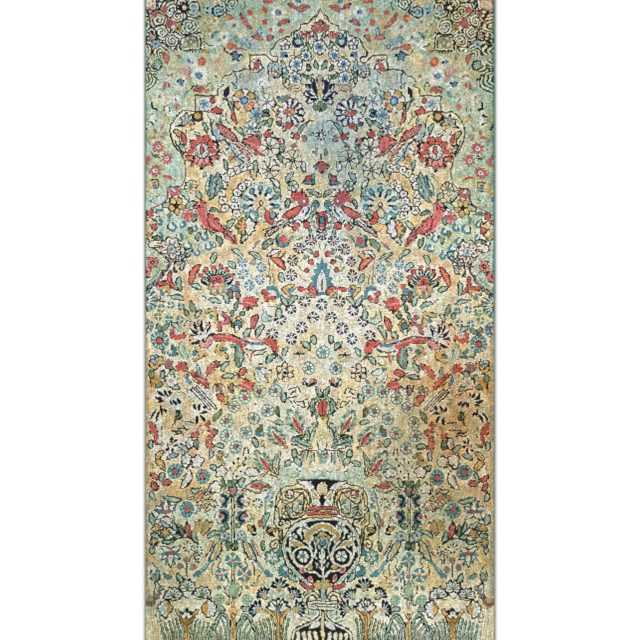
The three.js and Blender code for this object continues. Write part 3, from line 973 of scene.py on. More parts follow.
def red_songbird(chart: Chart) -> None:
    """Draws the crested red bird that sits on the gold branch and looks outwards."""
    chart.leaf((99, 229), (84, 244), 8, CORAL)
    chart.leaf((97, 228), (89, 243), 5, ROSE)
    chart.lines(INK, 1, (100, 231, 93, 236, 87, 242), (97, 227, 91, 233, 86, 239), strength=0.7)
    chart.lines(PINK, 9.5, (120.5, 206, 119.5, 213, 117, 219, 111, 225, 103, 229))
    chart.lines(CORAL, 7, (120.5, 206, 119.5, 213, 117, 219, 111, 225, 103, 229), strength=0.8)
    chart.leaves(CORAL, 11, (112.5, 214, 97, 231), rim=INK, bend=-0.12)
    chart.lines(ROSE, 1.2, (109, 217, 103, 221, 100, 228), (111, 218, 106, 224, 101, 230))
    chart.lines(CORAL, 7.5, (121, 208, 119.5, 203.5), shape=Shape.LEAF)
    chart.leaf((119, 206), (120.5, 200), 4, CORAL)
    chart.leaf((122, 205.5), (128, 208.5), 2.6, ROSE, rim=INK)
    chart.discs(INK, (103, 224, 1), (107, 229, 1), (104.5, 232, 1.2), (100, 226, 0.8), (106, 220, 0.8),
            (117, 228, 0.8), (119, 206.5, 0.9))
    chart.lines(INK, 1.1, (115, 228, 114, 232), (107, 232, 107, 235, 110, 236), (112, 229, 110, 234))


def pheasant(chart: Chart) -> None:
    """Draws the red-winged pheasant with a white breast and a long striped tail."""
    chart.lines(WHITE, 5, (24, 215, 19, 219, 14, 214, 13, 208, 17, 204), rim=MOSS)
    chart.lines(WHITE, 9, (35, 219, 26, 216, 18, 212, 18, 207), rim=GREY)
    chart.lines(CREAM, 7, (33, 220, 44, 227, 55, 235), shape=Shape.TAPER, rim=MOSS)
    chart.lines(MOSS, 1, (30, 218, 42, 225, 56, 232), (32, 221, 42, 229, 53, 236),
            (45, 226, 52, 228, 59, 231), (22, 219, 20, 224), (17, 219, 18, 224),
            (32, 222, 33, 226, 29, 228), (27, 221, 30, 226))
    chart.lines(MAUVE, 1.2, (35, 221, 44, 228, 54, 234), (37, 219, 47, 224, 53, 229))
    chart.leaves(CORAL, 8, (20, 206, 39, 217), rim=BROWN, bend=0.06)
    chart.leaf((24, 209), (35, 215), 3, ORANGE)
    chart.petals((22.5, 197), 1, 7.6, 7, 3, CORAL, turn=100, spread=230)
    chart.disc((21, 199), 4, CORAL)
    chart.rings((17, 201), 4.8, (MAUVE, CORAL, CORAL, WHITE), tall=1.1)
    chart.lines(BROWN, 1, (16, 196.5, 9, 196.5), (19, 190, 19, 195))
    chart.lines(NAVY, 1.3, (13, 207, 13, 211, 16, 216), (18, 211, 19, 212))
    chart.disc((26, 227), 3.2, ROSE)
    chart.disc((15, 225), 3, CORAL, rim=MAUVE)
    chart.disc((25.5, 226.5), 1.6, ORANGE)


def left_sprigs(chart: Chart) -> None:
    """Draws the small teal and white flowers beside the red bird, and what lines the side there."""
    chart.lines(OLIVE, 0.9, (158, 214, 156, 222, 158, 230), (150, 206, 148, 216, 152, 224),
            (134, 220, 132, 232, 136, 240), (146, 230, 144, 238))
    chart.ground([(166, 212), (150, 210), (128, 222), (106, 238), (106, 250), (126, 258), (146, 240),
            (164, 242)], PALE_MINT, soft=5, strength=0.7)
    for u, v, size in ((148, 227, 4), (140.5, 238, 3.4), (133, 246, 3.8), (111, 246, 3.8), (123.5, 253, 3),
            (116, 236, 3.6), (138, 225, 2.8), (126, 229, 2.8), (160, 236, 3), (161, 222, 2.8)):
        chart.disc((u + 0.2 * size, v - 0.2 * size), 0.8 * size, WHITE, strength=0.85)
        chart.lines(TEAL, 2.7, (u - 0.1 * size, v - size, u - 0.8 * size, v - 0.1 * size,
                u - 0.2 * size, v + 0.8 * size, u + 0.8 * size, v + 0.6 * size), strength=0.9)
        chart.lines(NAVY, 1, (u + size, v - 0.6 * size, u + 1.1 * size, v + 0.4 * size), strength=0.9)
    chart.leaves(TEAL, 3.4, (166, 213.5, 158, 210), (152, 221, 151, 213))
    chart.leaves(GREEN, 4, (168, 238, 157, 241), (128, 223, 124, 216), (132, 228, 130, 234),
            (124, 241, 121.5, 233), (104, 236, 100, 246), (112, 210, 101, 213), rim=MOSS)
    chart.leaves(MINT, 5, (159.5, 207, 149.5, 206), (142, 189, 133, 200), (135, 208, 126, 202),
            (93, 228, 86, 220), (109, 263, 105, 253), (93, 262, 86, 269), (120, 198, 123, 192), rim=MOSS,
            vein=GREEN)
    chart.lines(CREAM, 1, (142, 195, 136, 202), (140, 187, 132, 196))
    chart.lines(MOSS, 1, (152.5, 224, 153, 228, 150, 230), (138, 247, 134, 250), (145, 236, 145, 239),
            (107, 242, 104, 246, 107, 248), (121, 225, 119, 227), (97, 224, 92, 229))
    chart.petals((145, 206), 2.5, 8.5, 5, 5, GOLD, turn=60, rim=OLIVE)
    chart.petals((145, 206), 0, 4, 5, 1.8, BLACK, turn=24)
    chart.flower((133, 216), 6, 6, PINK, heart=CORAL, rim=MAUVE, core=0.4)
    chart.leaves(CORAL, 2.2, (130, 213, 129, 219))
    chart.petals((147, 191), 1.5, 6, 5, 3.6, ROSE, turn=-50, spread=200)
    chart.leaves(TEAL, 4, (153, 188, 149, 191))
    chart.petals((171, 226), 1, 7.5, 6, 4.4, STRAW)
    chart.petals((171, 226), 2, 6, 6, 2, GOLD, turn=60)
    chart.discs(CORAL, (170, 213, 2.8), (166.5, 227, 2.4), (175, 219, 2), rim=BROWN)
    chart.lines(BROWN, 1, (167, 232, 170, 236), (166, 222, 168, 219), (164, 217, 162, 217))
    chart.leaves(GOLD, 5, (177, 188, 172, 195), (176, 232, 170, 236))
    chart.disc((177.5, 196.5), 3, TEAL)


def side_knot(chart: Chart) -> None:
    """Draws the brown ribbon knot and the arch line where it turns back to the side."""
    chart.lines(MAUVE, 1.6, (150, 187.5, 153, 190, 153, 198, 158, 203, 166, 207, 176, 212))
    chart.lines(BROWN, 1.2, (173, 238, 171, 244, 168, 248, 165, 250, 156, 258, 152, 263, 154, 267, 155, 271,
            159, 273, 163, 281, 170, 288, 178, 291))
    chart.lines(MAUVE, 2.4, (157, 272, 160, 278, 167, 285), strength=0.6)
    chart.lines(IVORY, 6.5, (168, 245, 161, 244, 155, 250, 149, 258), rim=BROWN)
    chart.lines(MAUVE, 3, (150, 258, 152, 266, 158, 274, 166, 282, 176, 290), strength=0.7)
    chart.lines(BROWN, 1, (166, 246, 160, 247, 154, 254, 151, 259), (164, 243, 157, 246, 151, 253))
    for i in range(5):
        chart.disc((164 - 3 * i, 246.5 + 2.4 * i), 0.8, WHITE)
    chart.petals((150, 248), 3, 10.5, 7, 5.4, IVORY, turn=60, spread=280, rim=BROWN)
    chart.petals((150, 248), 4, 8.5, 7, 2, MAUVE, turn=60, spread=280)
    chart.flower((150, 249), 4.4, 3, GREY, heart=TEAL, rim=BROWN, turn=90)
    for at, radius in (((168, 262), 5.4), ((175, 272), 5.4)):
        chart.petals(at, 1.5, radius, 9, 3.3, CORAL, turn=10)
        chart.petals(at, 2, radius, 9, 1, PINK, turn=30)
        chart.rings(at, 2.2, (NAVY, NAVY, GREY))
    chart.leaf((179, 275), (178, 268), 4, TEAL)
    chart.lines(SEA, 1.6, (171, 267.5, 162, 267.5), (160, 269, 165, 276, 172, 281), (166, 284, 176, 284))
    chart.leaves(STRAW, 7.4, (146.5, 272, 139, 262), rim=MOSS)
    chart.leaves(GREY, 4.4, (139, 270, 136, 262), (142, 262, 138, 255), (134, 258, 129, 252), rim=MOSS)
    chart.leaves(MINT, 3.4, (136, 254, 129, 250), (140, 259, 131, 255), rim=MOSS)
    chart.lines(MOSS, 1.1, (143, 242, 141, 248, 143, 252), (156, 262, 152, 264, 154, 270, 159, 271),
            (147, 262, 147, 268, 144, 273), (137, 256, 133, 262), (134, 254, 138, 260))
    chart.leaves(CORAL, 6.5, (120.5, 264.5, 131, 284), rim=BROWN, bend=-0.1)
    chart.leaves(ORANGE, 2.4, (124, 268, 130, 280), bend=-0.1)


def heart_of_tree(chart: Chart) -> None:
    """Draws the navy and teal rosettes, leaves and buds about the middle line under the fan."""
    chart.lines(SEA, 1.8, (6, 210, 10, 217, 8, 224, 4, 228), (12, 226, 11, 234), (4, 204, 6, 212))
    chart.lines(OLIVE, 0.9, (53, 259, 51, 266, 52, 272, 54, 277), (16, 246, 14, 252, 10, 254),
            (22, 266, 18, 271, 12, 270), (18, 258, 21, 262), (4, 244, 2, 249))
    oval = Patch(chart, (0, 220), 10)
    shape = np.hypot(oval.x / 5, oval.y / 8.4)
    for share, silk in ((1, BROWN), (0.92, CORAL), (0.6, PINK), (0.52, NAVY), (0.42, TEAL)):
        oval.fill((shape - share) * 5, silk)
    chart.lines(NAVY, 1, (2.5, 215, 3, 221, 2, 226))
    chart.leaves(MINT, 4.2, (13.5, 190, 2.5, 196.5), (34.5, 208, 31.5, 198.5), (47, 187, 41, 196),
            (72.5, 252.5, 60, 260), (90, 249, 78.5, 257), (80, 243, 73, 236), rim=MOSS)
    chart.leaves(WHITE, 3.8, (53.5, 256.5, 41, 250.5), rim=MOSS)
    chart.leaves(GREEN, 6.4, (57.5, 249.5, 47.5, 239), rim=MOSS)
    chart.leaves(GREEN, 3.6, (14, 249, 8, 254), (19, 258, 13, 258))
    chart.leaves(GOLD, 3, (43, 258, 36, 252))
    chart.leaves(CORAL, 6.6, (50.5, 257.5, 37.5, 270), rim=BROWN, vein=ROSE)
    chart.discs(CORAL, (6, 254.5, 2.2), (11, 262.5, 2), (14.5, 270, 1.5), rim=MAUVE)
    chart.disc((6.5, 203), 2.6, TEAL)
    chart.lines(CORAL, 4, (54, 213, 54.5, 219, 50, 222), rim=BROWN)
    chart.disc((48, 216), 2.8, SEA, rim=MOSS)
    chart.leaves(TAN, 3, (53, 211, 46, 210))
    chart.lines(MOSS, 1, (45, 213, 46, 217, 43, 219), (47, 221, 42, 223))
    chart.disc((39, 240.5), 6.4, MINT)
    chart.lines(TEAL, 3.8, (44, 236, 43.6, 242, 40, 245.6, 34, 245), strength=0.9)
    chart.lines(NAVY, 1.6, (44.6, 238, 43.6, 243))
    chart.disc((38, 240), 3.2, CORAL, rim=ROSE)
    chart.lines(MAUVE, 1.5, (69, 248, 65, 246, 61, 241), (65, 246, 64, 242), (67, 248, 66, 244))
    chart.petals((76, 227), 2, 9.5, 5, 5.4, OLIVE, turn=180, spread=150)
    chart.petals((76, 227), 1, 8, 5, 2.6, GOLD, turn=180, spread=150)
    chart.petals((75, 227), 1, 9, 4, 5, WHITE, turn=0, spread=130, rim=MOSS)
    chart.leaves(CORAL, 2, (79, 224, 73, 226), (79, 228, 74, 228))
    chart.ground([(0, 257), (2, 263), (6, 264), (5, 268), (9, 270), (7, 275), (11, 277), (8.5, 281),
            (12, 284), (8, 287), (9, 291), (4, 295), (-4, 295), (-9, 282), (-6, 270), (-3, 264)], TEAL,
            soft=0.5, strength=0.9)
    chart.ground([(0, 269), (3, 274), (4.4, 279), (5, 286), (3, 292), (-3, 292), (-5, 286), (-4, 277)],
            WHITE, soft=0.5, strength=0.9)
    chart.lines(BROWN, 1.4, (0, 279, 0, 290))


def rosettes(chart: Chart) -> None:
    """Draws every navy, teal and ringed rosette that is strewn about the tree."""
    for at in ((11, 240.5), (22, 249), (28.5, 261), (29.5, 275), (0, 234), (17, 301), (31, 309), (8.5, 317),
            (0, 304), (41, 319), (20, 328), (48.5, 334), (29.5, 339)):
        chart.disc(at, 6.6, WHITE, strength=0.85)
        chart.wheel(at, 2.1, 5.7, 8 if at[1] > 290 else 9, BLACK, 1.2, turn=8, strength=1)
        if at[1] < 290:
            chart.disc(at, 1.5, PINK)
    for at in ((79, 263), (60, 267), (78, 274.5), (61, 279), (72, 286)):
        chart.disc(at, 5.8, WHITE, strength=0.85)
        chart.wheel(at, 1.4, 5.2, 8, TEAL, 0.9, turn=5)
        chart.disc(at, 0.9, PINK, strength=0.8)
    for at in ((61, 391), (46, 390.5), (76, 397), (87, 407), (53, 410), (67, 418), (94, 421), (75, 432.5),
            (95, 435), (85, 447), (0, 352), (13, 368)):
        chart.disc(at, 6.6, JADE, strength=0.9)
        chart.wheel(at, 2, 5.4, 8, WHITE, 1.2, turn=at[0])
        chart.disc(at, 1.4, SEA if at[0] < 20 else CORAL)


def middle_branches(chart: Chart) -> None:
    """Lays the gold stems and warm ground of the middle of the rug."""
    for outline, silk in (([(140, 272), (132, 272), (128, 300), (118, 316), (124, 344), (142, 360),
            (150, 330), (140, 300)], STRAW), ([(112, 296), (84, 300), (72, 308), (46, 312), (30, 330),
            (34, 352), (60, 340), (94, 328), (104, 310)], CREAM), ([(177, 345), (171, 350), (169, 470),
            (172, 520), (177, 520)], STRAW), ([(176, 372), (164, 374), (156, 384), (172, 392), (176, 390)],
            AMBER), ([(158, 382), (168, 400), (156, 430), (128, 440), (110, 446), (112, 420), (132, 398),
            (146, 384)], STRAW), ([(122, 376), (84, 374), (64, 364), (50, 384), (84, 386), (120, 388)],
            STRAW), ([(64, 384), (36, 384), (12, 402), (8, 440), (40, 432), (62, 424)], IVORY)):
        chart.ground(outline, silk, soft=5, strength=0.9)
    chart.lines(PEACH, 3.6, (137, 272, 135, 290, 131, 306, 128, 320), (125, 296, 124, 302),
            (44, 270, 44, 292), (118, 345, 113, 362, 112, 372), (144, 342, 141, 352), (174, 334, 173, 400),
            (173, 400, 174, 462), (98, 377, 110, 380, 124, 384), (168, 388, 160, 381), strength=0.88)
    chart.lines(PEACH, 2.2, (104, 293, 104, 306, 92, 311), (150, 428, 158, 410, 156, 392),
            (122, 436, 108, 452), (112, 372, 98, 379, 80, 380), (56, 330, 40, 344), (138, 452, 120, 454),
            strength=0.8)
    chart.lines(BROWN, 1.1, (54, 275, 51, 277, 52, 284), (48, 273, 47, 284), (52, 262, 51, 270),
            strength=0.8)


def side_blooms(chart: Chart) -> None:
    """Draws the blooms, buds and leaves down the side between the arch foot and the second bird."""
    chart.petals((176, 300), 4, 12, 9, 3.4, SEA, turn=0, spread=170)
    chart.petals((176, 300), 3, 8, 7, 1.8, WHITE, turn=8, spread=150)
    chart.petals((176, 300), 6, 13, 8, 1, MOSS, turn=6, spread=160)
    chart.disc((177, 299), 3, TAN, rim=BROWN)
    for at, radius in (((176, 326), 8.6), ((161, 340), 9.2)):
        chart.wheel(at, 3, radius, 12, TEAL, 0.7)
        chart.rings(at, 3.8, (BLACK, ROSE, CORAL, CORAL))
    chart.lines(CORAL, 2.6, (151, 273, 151, 281, 147, 288), (161, 283, 152, 284), rim=BROWN)
    chart.lines(ORANGE, 2, (149, 284, 145, 289))
    chart.lines(MOSS, 1.2, (166, 281, 168, 284, 165, 286, 164, 283), (159, 271, 157, 276, 159, 279),
            (174, 291, 173, 286, 170, 284), (136, 326, 133, 321, 129, 321), (160, 296, 162, 301, 157, 302),
            (164, 217, 166, 220), (170, 378, 170, 386))
    chart.leaves(SEA, 5, (141, 291, 141, 277), (150, 297, 137, 300), (129, 285, 120, 289),
            (113, 300, 101, 304), (98, 293, 94, 303), (125, 318, 121, 311), (149, 323, 143, 328),
            (99, 370, 92, 361), (99, 377, 88, 375), (160, 377, 157, 372), (170, 448, 169, 440),
            (142, 445, 134, 451), (105, 446, 97, 447), (149, 387, 141, 388), (151, 376, 146, 369), rim=MOSS,
            vein=MINT)
    chart.leaves(GREEN, 5, (160, 331, 163, 323), (159, 331, 152, 324), (166, 387, 158, 384),
            (168, 378, 169, 371), (124, 449, 124, 439), (142, 419, 142, 411), (107, 421, 100, 410),
            (134, 315, 136, 310), (127, 312, 130, 302), rim=OLIVE)
    for at in ((150.5, 305), (140, 307), (160, 308), (163, 316), (152.5, 319), (141, 320)):
        chart.wheel(at, 0.4, 4, 4, TEAL if at[0] < 158 else GREEN, 1, turn=45)
    chart.lines(CORAL, 3.6, (148, 330, 148, 336, 143, 338, 138, 335))
    chart.disc((142.4, 330), 3.6, WHITE, strength=0.85)
    chart.leaves(SKY, 2.2, (142, 332, 141, 327))
    chart.disc((119, 334), 13, WHITE, strength=0.8)
    chart.discs(PINK, (129, 324, 1.7), (121, 321.6, 1.7), (113, 323.5, 1.6), (130, 338, 2), (112, 341, 3),
            (119, 343.5, 2.6), (115, 345, 2.6))
    chart.leaves(BLACK, 3.6, (123, 335, 131, 326), (122, 332, 126, 321), (118, 333, 119, 320),
            (114, 334, 110, 325), (114, 336, 103, 335), (121, 340, 131, 344))
    chart.lines(BLACK, 1, (125, 336, 132, 334), (117, 330, 112, 322), (124, 332, 129, 330),
            (122, 343, 125, 345))
    chart.leaves(STRAW, 2, (121, 334, 122, 325))
    chart.disc((118, 340), 1.4, BLACK)
    chart.lines(ROSE, 3.4, (97, 314, 93, 318, 94, 322, 101, 324, 102, 329))
    for start, mid, tip, blue in (((162, 288), (154, 287), (152, 294), (158.5, 293)), ((124, 349),
            (118, 354), (126, 359), (126, 353)), ((98, 343), (104, 350), (95, 356), (97, 349)), ((115, 312),
            (106, 311), (105, 321), (110, 317))):
        chart.line([start, mid, tip], 3.2, GOLD)
        chart.disc(blue, 2.6, TEAL, strength=0.9)
    chart.lines(PALE_MINT, 4, (138, 341, 140, 349, 134, 358), (134, 348, 131, 356), strength=0.9)
    chart.lines(TEAL, 1.2, (140, 342, 142, 350, 137, 358), (136, 346, 133, 357))
    chart.leaves(TEAL, 2.8, (143, 355, 149, 343), (143, 354, 153, 353))
    chart.leaves(TEAL, 4.4, (119, 379, 123, 365), vein=SKY)
    chart.leaves(CORAL, 6.4, (115, 377, 101, 362), bend=0.12)
    chart.discs(MAUVE, (152, 364, 4.4), (102, 389, 2.8))
    chart.leaves(CORAL, 3, (152, 368, 152, 361))
    chart.lines(MAUVE, 1, (157, 364, 155, 369, 150, 368), (152, 361, 152, 365))
    chart.flower((166, 360), 4.8, 5, SKY, rim=MOSS)
    chart.lines(GOLD, 3, (170, 364, 166, 368, 162, 363), (160, 359, 160, 363), rim=OLIVE)
    chart.petals((150, 380), 1.6, 6.8, 8, 3.4, WHITE, turn=20)
    chart.disc((150, 380), 2, PINK)
    chart.lines(BROWN, 1.1, (106, 384, 108, 388, 107, 393), (104, 385, 101, 384, 96, 387),
            (93, 384, 93, 389), (106, 384, 103, 387), (160, 425, 159, 436), (150, 427, 146, 420, 146, 413,
            142, 409), (150, 430, 140, 430, 138, 435), (147, 432, 140, 433))


def rug_palmette(chart: Chart) -> None:
    """Draws the dark-rayed fan palmette with a coral heart and a green and gold calyx."""
    at = u, v = (104, 284)
    chart.disc((u, v - 3), 15, CREAM, strength=0.7)
    chart.petals(at, 4, 15, 13, 2.4, MINT, turn=90, spread=160)
    chart.petals(at, 4, 16.5, 12, 1.7, BLACK, turn=90, spread=150)
    for side in (-1, 1):
        chart.leaves(BLACK, 4.6, (u + 6 * side, v + 1, u + 17 * side, v - 5), bend=0.12 * side)
        chart.lines(WHITE, 1, (u + 8 * side, v, u + 14 * side, v - 4))
        chart.lines(SEA, 2.4, (u + 9 * side, v + 1, u + 7 * side, v + 7, u + 1 * side, v + 10))
        chart.lines(GOLD, 3.4, (u + 6 * side, v + 1, u + 5 * side, v + 6, u + 1 * side, v + 9))
    for spot in ((120, 276), (115, 270), (108, 267), (100, 266), (94, 270), (89, 276)):
        chart.disc(spot, 2, CORAL)
    chart.flower((u, v - 3), 5.4, 5, CORAL, rim=PINK, depth=0.3)
    chart.lines(BROWN, 1.4, (u, v - 5, u, v - 2), (u + 4, v - 3, u + 4, v - 1))
    chart.disc((u, v + 4), 3.4, PINK, rim=WHITE)
    chart.leaf((u, v + 11), (u, v + 4), 5, GREEN)


def centre_blooms(chart: Chart) -> None:
    """Draws the red leaves, buds and small ornaments either side of the middle line."""
    for at, size in (((73, 302), 1), ((74, 385), 0.85)):
        chart.ground(placed(at, ((-9.5, -3), (-5, -3), (-5, -7.5), (-2, -4), (0, -8.5), (2, -4), (4.4, -7),
                (5, -3), (8.5, -4), (6.5, 0), (10, 2), (6, 3), (5.5, 6), (1.6, 4.5), (-1, 6.5), (-5, 5),
                (-6, 1)), 0, size), CORAL, soft=0.5)
        chart.leaf((at[0] - 6 * size, at[1] + 2), (at[0] + 6 * size, at[1] - 1), 2, PINK)
        chart.lines(BROWN, 1, (at[0], at[1] + 4, at[0] + 1, at[1] + 8 * size))
    chart.lines(MOSS, 1, (73, 305, 73, 309), (80, 321, 77, 322), (75, 330, 72, 336), (58, 303, 60, 304))
    chart.lines(TEAL, 4.2, (53, 288, 48, 287.4, 44, 291, 43.6, 297), strength=0.9)
    chart.disc((50, 293.6), 4, WHITE, strength=0.85)
    chart.discs(CORAL, (55.4, 293, 2.8), (54, 299, 2.6), (48.8, 298.6, 2.5), (83.5, 284.5, 2.4),
            (10.5, 341.5, 1))
    chart.disc((86, 289), 3.2, BLUE, rim=TEAL)
    chart.leaves(MAUVE, 4, (89, 298, 91, 289), (84, 299, 82, 292), (88, 394, 89, 383), rim=BROWN)
    chart.flower((84, 323), 6, 5, GOLD, heart=TEAL, rim=OLIVE, core=0.5)
    chart.disc((84, 323.5), 3.2, TEAL, rim=NAVY)
    chart.leaves(WHITE, 4, (85, 326, 85, 332), rim=MOSS)
    chart.leaves(GREEN, 3.6, (88, 317, 88, 311), (80, 316, 76, 313), (85, 310, 84, 301), rim=MOSS)
    chart.leaves(SEA, 5.6, (32, 305, 40, 296), (32, 304, 24, 296), (64, 337, 57, 325), (54, 363, 46, 356),
            (20, 342, 12, 350), (37, 281, 41, 273), (38, 356, 34, 348), (42, 318, 42, 309),
            (37, 402, 38, 394), (47, 421, 38, 424), (69, 438, 64, 446), (26, 458, 27, 449),
            (76, 336, 71, 330), (8, 343, 8, 335), rim=MOSS, vein=MINT)
    chart.leaves(OLIVE, 4.4, (42, 416, 43, 405), (60, 430, 60, 425))
    chart.leaves(CORAL, 7, (69, 329, 64, 316), (5, 294, 11, 286), (82, 374, 75, 370), (105, 395, 94, 402),
            rim=BROWN)
    chart.leaves(CORAL, 3.4, (12, 288, 26, 287))
    chart.leaves(TAN, 5, (7, 296, 15, 291))
    for fan in ((38, 289, 27, 285), (37, 288, 31, 296), (96, 403, 94, 396), (94, 403, 100, 403)):
        chart.leaf(fan[:2], fan[2:], 3.6, GOLD, rim=AMBER)
    chart.disc((30, 291), 2.9, BLUE)
    chart.lines(PALE_MINT, 5, (57, 312, 56, 318, 50, 319), strength=0.9)
    chart.lines(TEAL, 1.2, (58, 310, 60, 319, 55, 322, 48, 320), (55, 311, 54, 316, 49, 317))
    chart.disc((22, 354), 7.5, TAN, strength=0.45)
    chart.lines(NAVY, 1.2, (28, 354, 17, 354), (23, 352, 21, 356))
    chart.discs(NAVY, (23, 354, 1.4), (18, 354, 1.1))
    chart.leaves(SKY, 4.4, (14, 386, 17, 378), (13, 386, 7, 381))
    chart.leaves(NAVY, 3.4, (13, 387, 16, 380), (13, 387, 7, 382))
    chart.disc((10, 380), 2.4, ORANGE, strength=0.7)
    chart.flower((9, 320), 3, 4, CREAM)
    chart.lines(BROWN, 1.2, (48, 352, 44, 355, 39, 361), (44, 354, 49, 351), (88, 371, 84, 373, 83, 378),
            (90, 378, 85, 374, 82, 370), (82, 376, 77, 379, 75, 377), (89, 383, 85, 387, 82, 385))
    star = (36, 372)
    chart.disc(star, 9, WHITE, strength=0.7)
    chart.petals(star, 4, 9, 6, 4.6, STRAW, rim=BROWN)
    chart.petals(star, 5, 8, 6, 1.4, WHITE)
    chart.leaf((39, 372.5), (33, 372.5), 3, NAVY)
    chart.disc((27, 391), 5, WHITE, strength=0.6)
    chart.lines(MOSS, 1.2, (33, 390, 29, 389), (31, 394, 28, 392), (28, 396, 24, 396), (28, 388, 26, 392),
            (23, 388, 22, 393), (24, 386, 26, 388), (34, 398, 30, 397), (30, 400, 29, 403),
            (27, 400, 25, 403), (28, 406, 26, 407), (24, 401, 20, 401), (24, 404, 22, 405),
            (19, 401, 17, 406), (20, 407, 16, 407), (14, 402, 13, 406), (15, 399, 17, 400),
            (12, 405, 15, 409), (36, 393, 35, 397), (37, 400, 35, 402), (76, 447, 77, 455),
            (74, 447, 72, 454))
    for turn, at in ((-8, (61, 382)), (20, (54, 382)), (62, (50, 372))):
        chart.leaf((62, 367), at, 6, WHITE, rim=SEA, bend=-0.14)
    chart.discs(TEAL, (62.5, 368, 1.9), (61, 432, 3.8))
    chart.disc((60.5, 429), 2.6, OLIVE, strength=0.9)
    chart.leaf((57, 446), (61, 439), 5, GOLD)


def paradise_birds(chart: Chart) -> None:
    """Draws the level red and blue bird, and below it the red bird with a long striped tail."""
    chart.leaves(GREEN, 11, (84, 345, 84, 366), rim=MOSS, bend=0.12)
    chart.lines(SKY, 2, (88, 345, 82, 349, 80, 361), strength=0.9)
    chart.lines(SEA, 2, (90, 346, 84, 346, 82, 354))
    chart.lines(WHITE, 6, (76, 345, 68, 347.6, 59, 346.6))
    chart.lines(SEA, 1, (74, 349, 66, 351, 59, 350))
    chart.lines(CORAL, 5, (77, 345, 88, 339, 106, 337))
    chart.lines(PINK, 1, (104, 336, 88, 338, 76, 343))
    chart.lines(BROWN, 1, (106, 341, 92, 341), (107, 334, 92, 334, 80, 338))
    chart.lines(BLUE, 3.4, (78, 339, 70, 344, 59, 345), strength=0.9)
    chart.lines(PINK, 3.2, (76, 337, 67, 339, 60, 342), strength=0.9)
    chart.lines(CORAL, 6.4, (54, 342, 49, 343, 46, 348))
    chart.lines(CORAL, 2.4, (79, 348, 77, 355), (68, 352, 70, 360), strength=0.9)
    chart.lines(MOSS, 1, (66, 355, 60, 355, 55, 352), (54, 340, 51, 338))
    chart.lines(STRAW, 4.6, (139, 373, 138, 381, 134, 387, 126, 390), shape=Shape.TAPER)
    for run in ((124, 388, 114, 398, 106, 407), (129, 390, 118, 400, 112, 408)):
        chart.lines(INK, 3.6, run)
        chart.lines(CREAM, 1.6, run)
    chart.leaves(BLUE, 5, (134, 373, 130, 385), bend=-0.1)
    chart.leaves(CORAL, 8.4, (132, 372, 113, 388), bend=0.06)
    chart.ground(placed((139, 367), ((-6, -1), (-2, -4), (0, -3), (1, -6), (3, -3), (7, -4), (4, -1),
            (5, 2), (2, 6), (-2, 6), (-5, 3))), CORAL, soft=0.5)
    chart.lines(BROWN, 1, (53, 345, 50, 349, 47, 352), (48, 341, 45, 345), (46, 352, 43, 359),
            (130, 374, 123, 380, 115, 387), (126, 374, 121, 378), (128, 380, 122, 385),
            (145, 365, 141, 367), (135, 364, 132, 368), (139, 362, 139, 366), (134, 390, 134, 393),
            (139, 392, 137, 394), (145, 391, 141, 393))


def claws_and_tulips(chart: Chart) -> None:
    """Draws the black claw-like buds on white, and the red tulips below them."""
    for at in ((160, 396), (145, 402), (163, 414), (122, 413), (149, 444)):
        chart.disc(at, 8, WHITE, strength=0.7)
    chart.leaves(BLACK, 3, (157, 399, 167, 396), (156, 397, 164, 390), (153, 396, 157, 389),
            (151, 395, 151, 389), (163, 403, 156, 402), (151, 400, 148, 405), (148, 399, 144, 405),
            (144, 398, 141, 404), (170, 420, 165, 410), (165, 421, 160, 411), (161, 406, 159, 416),
            (157, 409, 155, 414), (124, 411, 127, 404), (122, 411, 120, 403), (121, 413, 113, 412),
            (121, 415, 117, 421), (124, 415, 126, 424), (118, 409, 114, 405))
    chart.leaves(BLACK, 3.4, (150, 442, 149, 436), (148, 442, 144, 440), (148, 445, 143, 446),
            (149, 447, 149, 452), (152, 447, 155, 450))
    chart.disc((151, 444), 1.8, PINK)
    for spots in (((130, 432), (122, 435), (122, 425)), ((113, 420), (112, 430), (104, 431)), ((107, 436),
            (114, 441), (107, 448))):
        chart.leaf(spots[1], spots[0], 5.6, CORAL, bend=0.1)
        chart.leaf(spots[1], spots[2], 5.6, CORAL, bend=-0.1)
    chart.disc((107.5, 425), 2.8, WHITE, strength=0.9)
    chart.disc((118, 430), 5, IVORY, strength=0.7)
    chart.leaves(WHITE, 5.6, (138, 452, 137, 462), (124, 455, 128, 466), (134, 468, 139, 459), rim=MOSS)
    chart.lines(CORAL, 5.6, (169, 424, 166, 432, 164, 444), shape=Shape.TAPER)
    chart.leaf((166, 431), (171, 431), 2.6, CORAL)
    chart.lines(GREY, 4.4, (131, 423, 137, 423, 142, 427), strength=0.9)
    chart.lines(INK, 1, (139, 421, 128, 422), (144, 428, 131, 429), (138, 426, 134, 430),
            (149, 431, 139, 431), (148, 434, 144, 434, 140, 432), (147, 410, 143, 412, 146, 424),
            (143, 410, 142, 420))
    chart.leaf((131, 449), (131, 437), 9, WHITE, rim=MOSS, teeth=3)
    chart.lines(MOSS, 1, (131, 446, 132, 442))
    chart.disc((130, 452), 5, ORANGE, strength=0.35)
    chart.leaves(GOLD, 4.4, (103, 459, 98, 452), (103, 458, 98, 466))
    chart.leaves(SKY, 4.4, (154, 459, 143, 454), (111, 449, 111, 459), rim=MOSS)


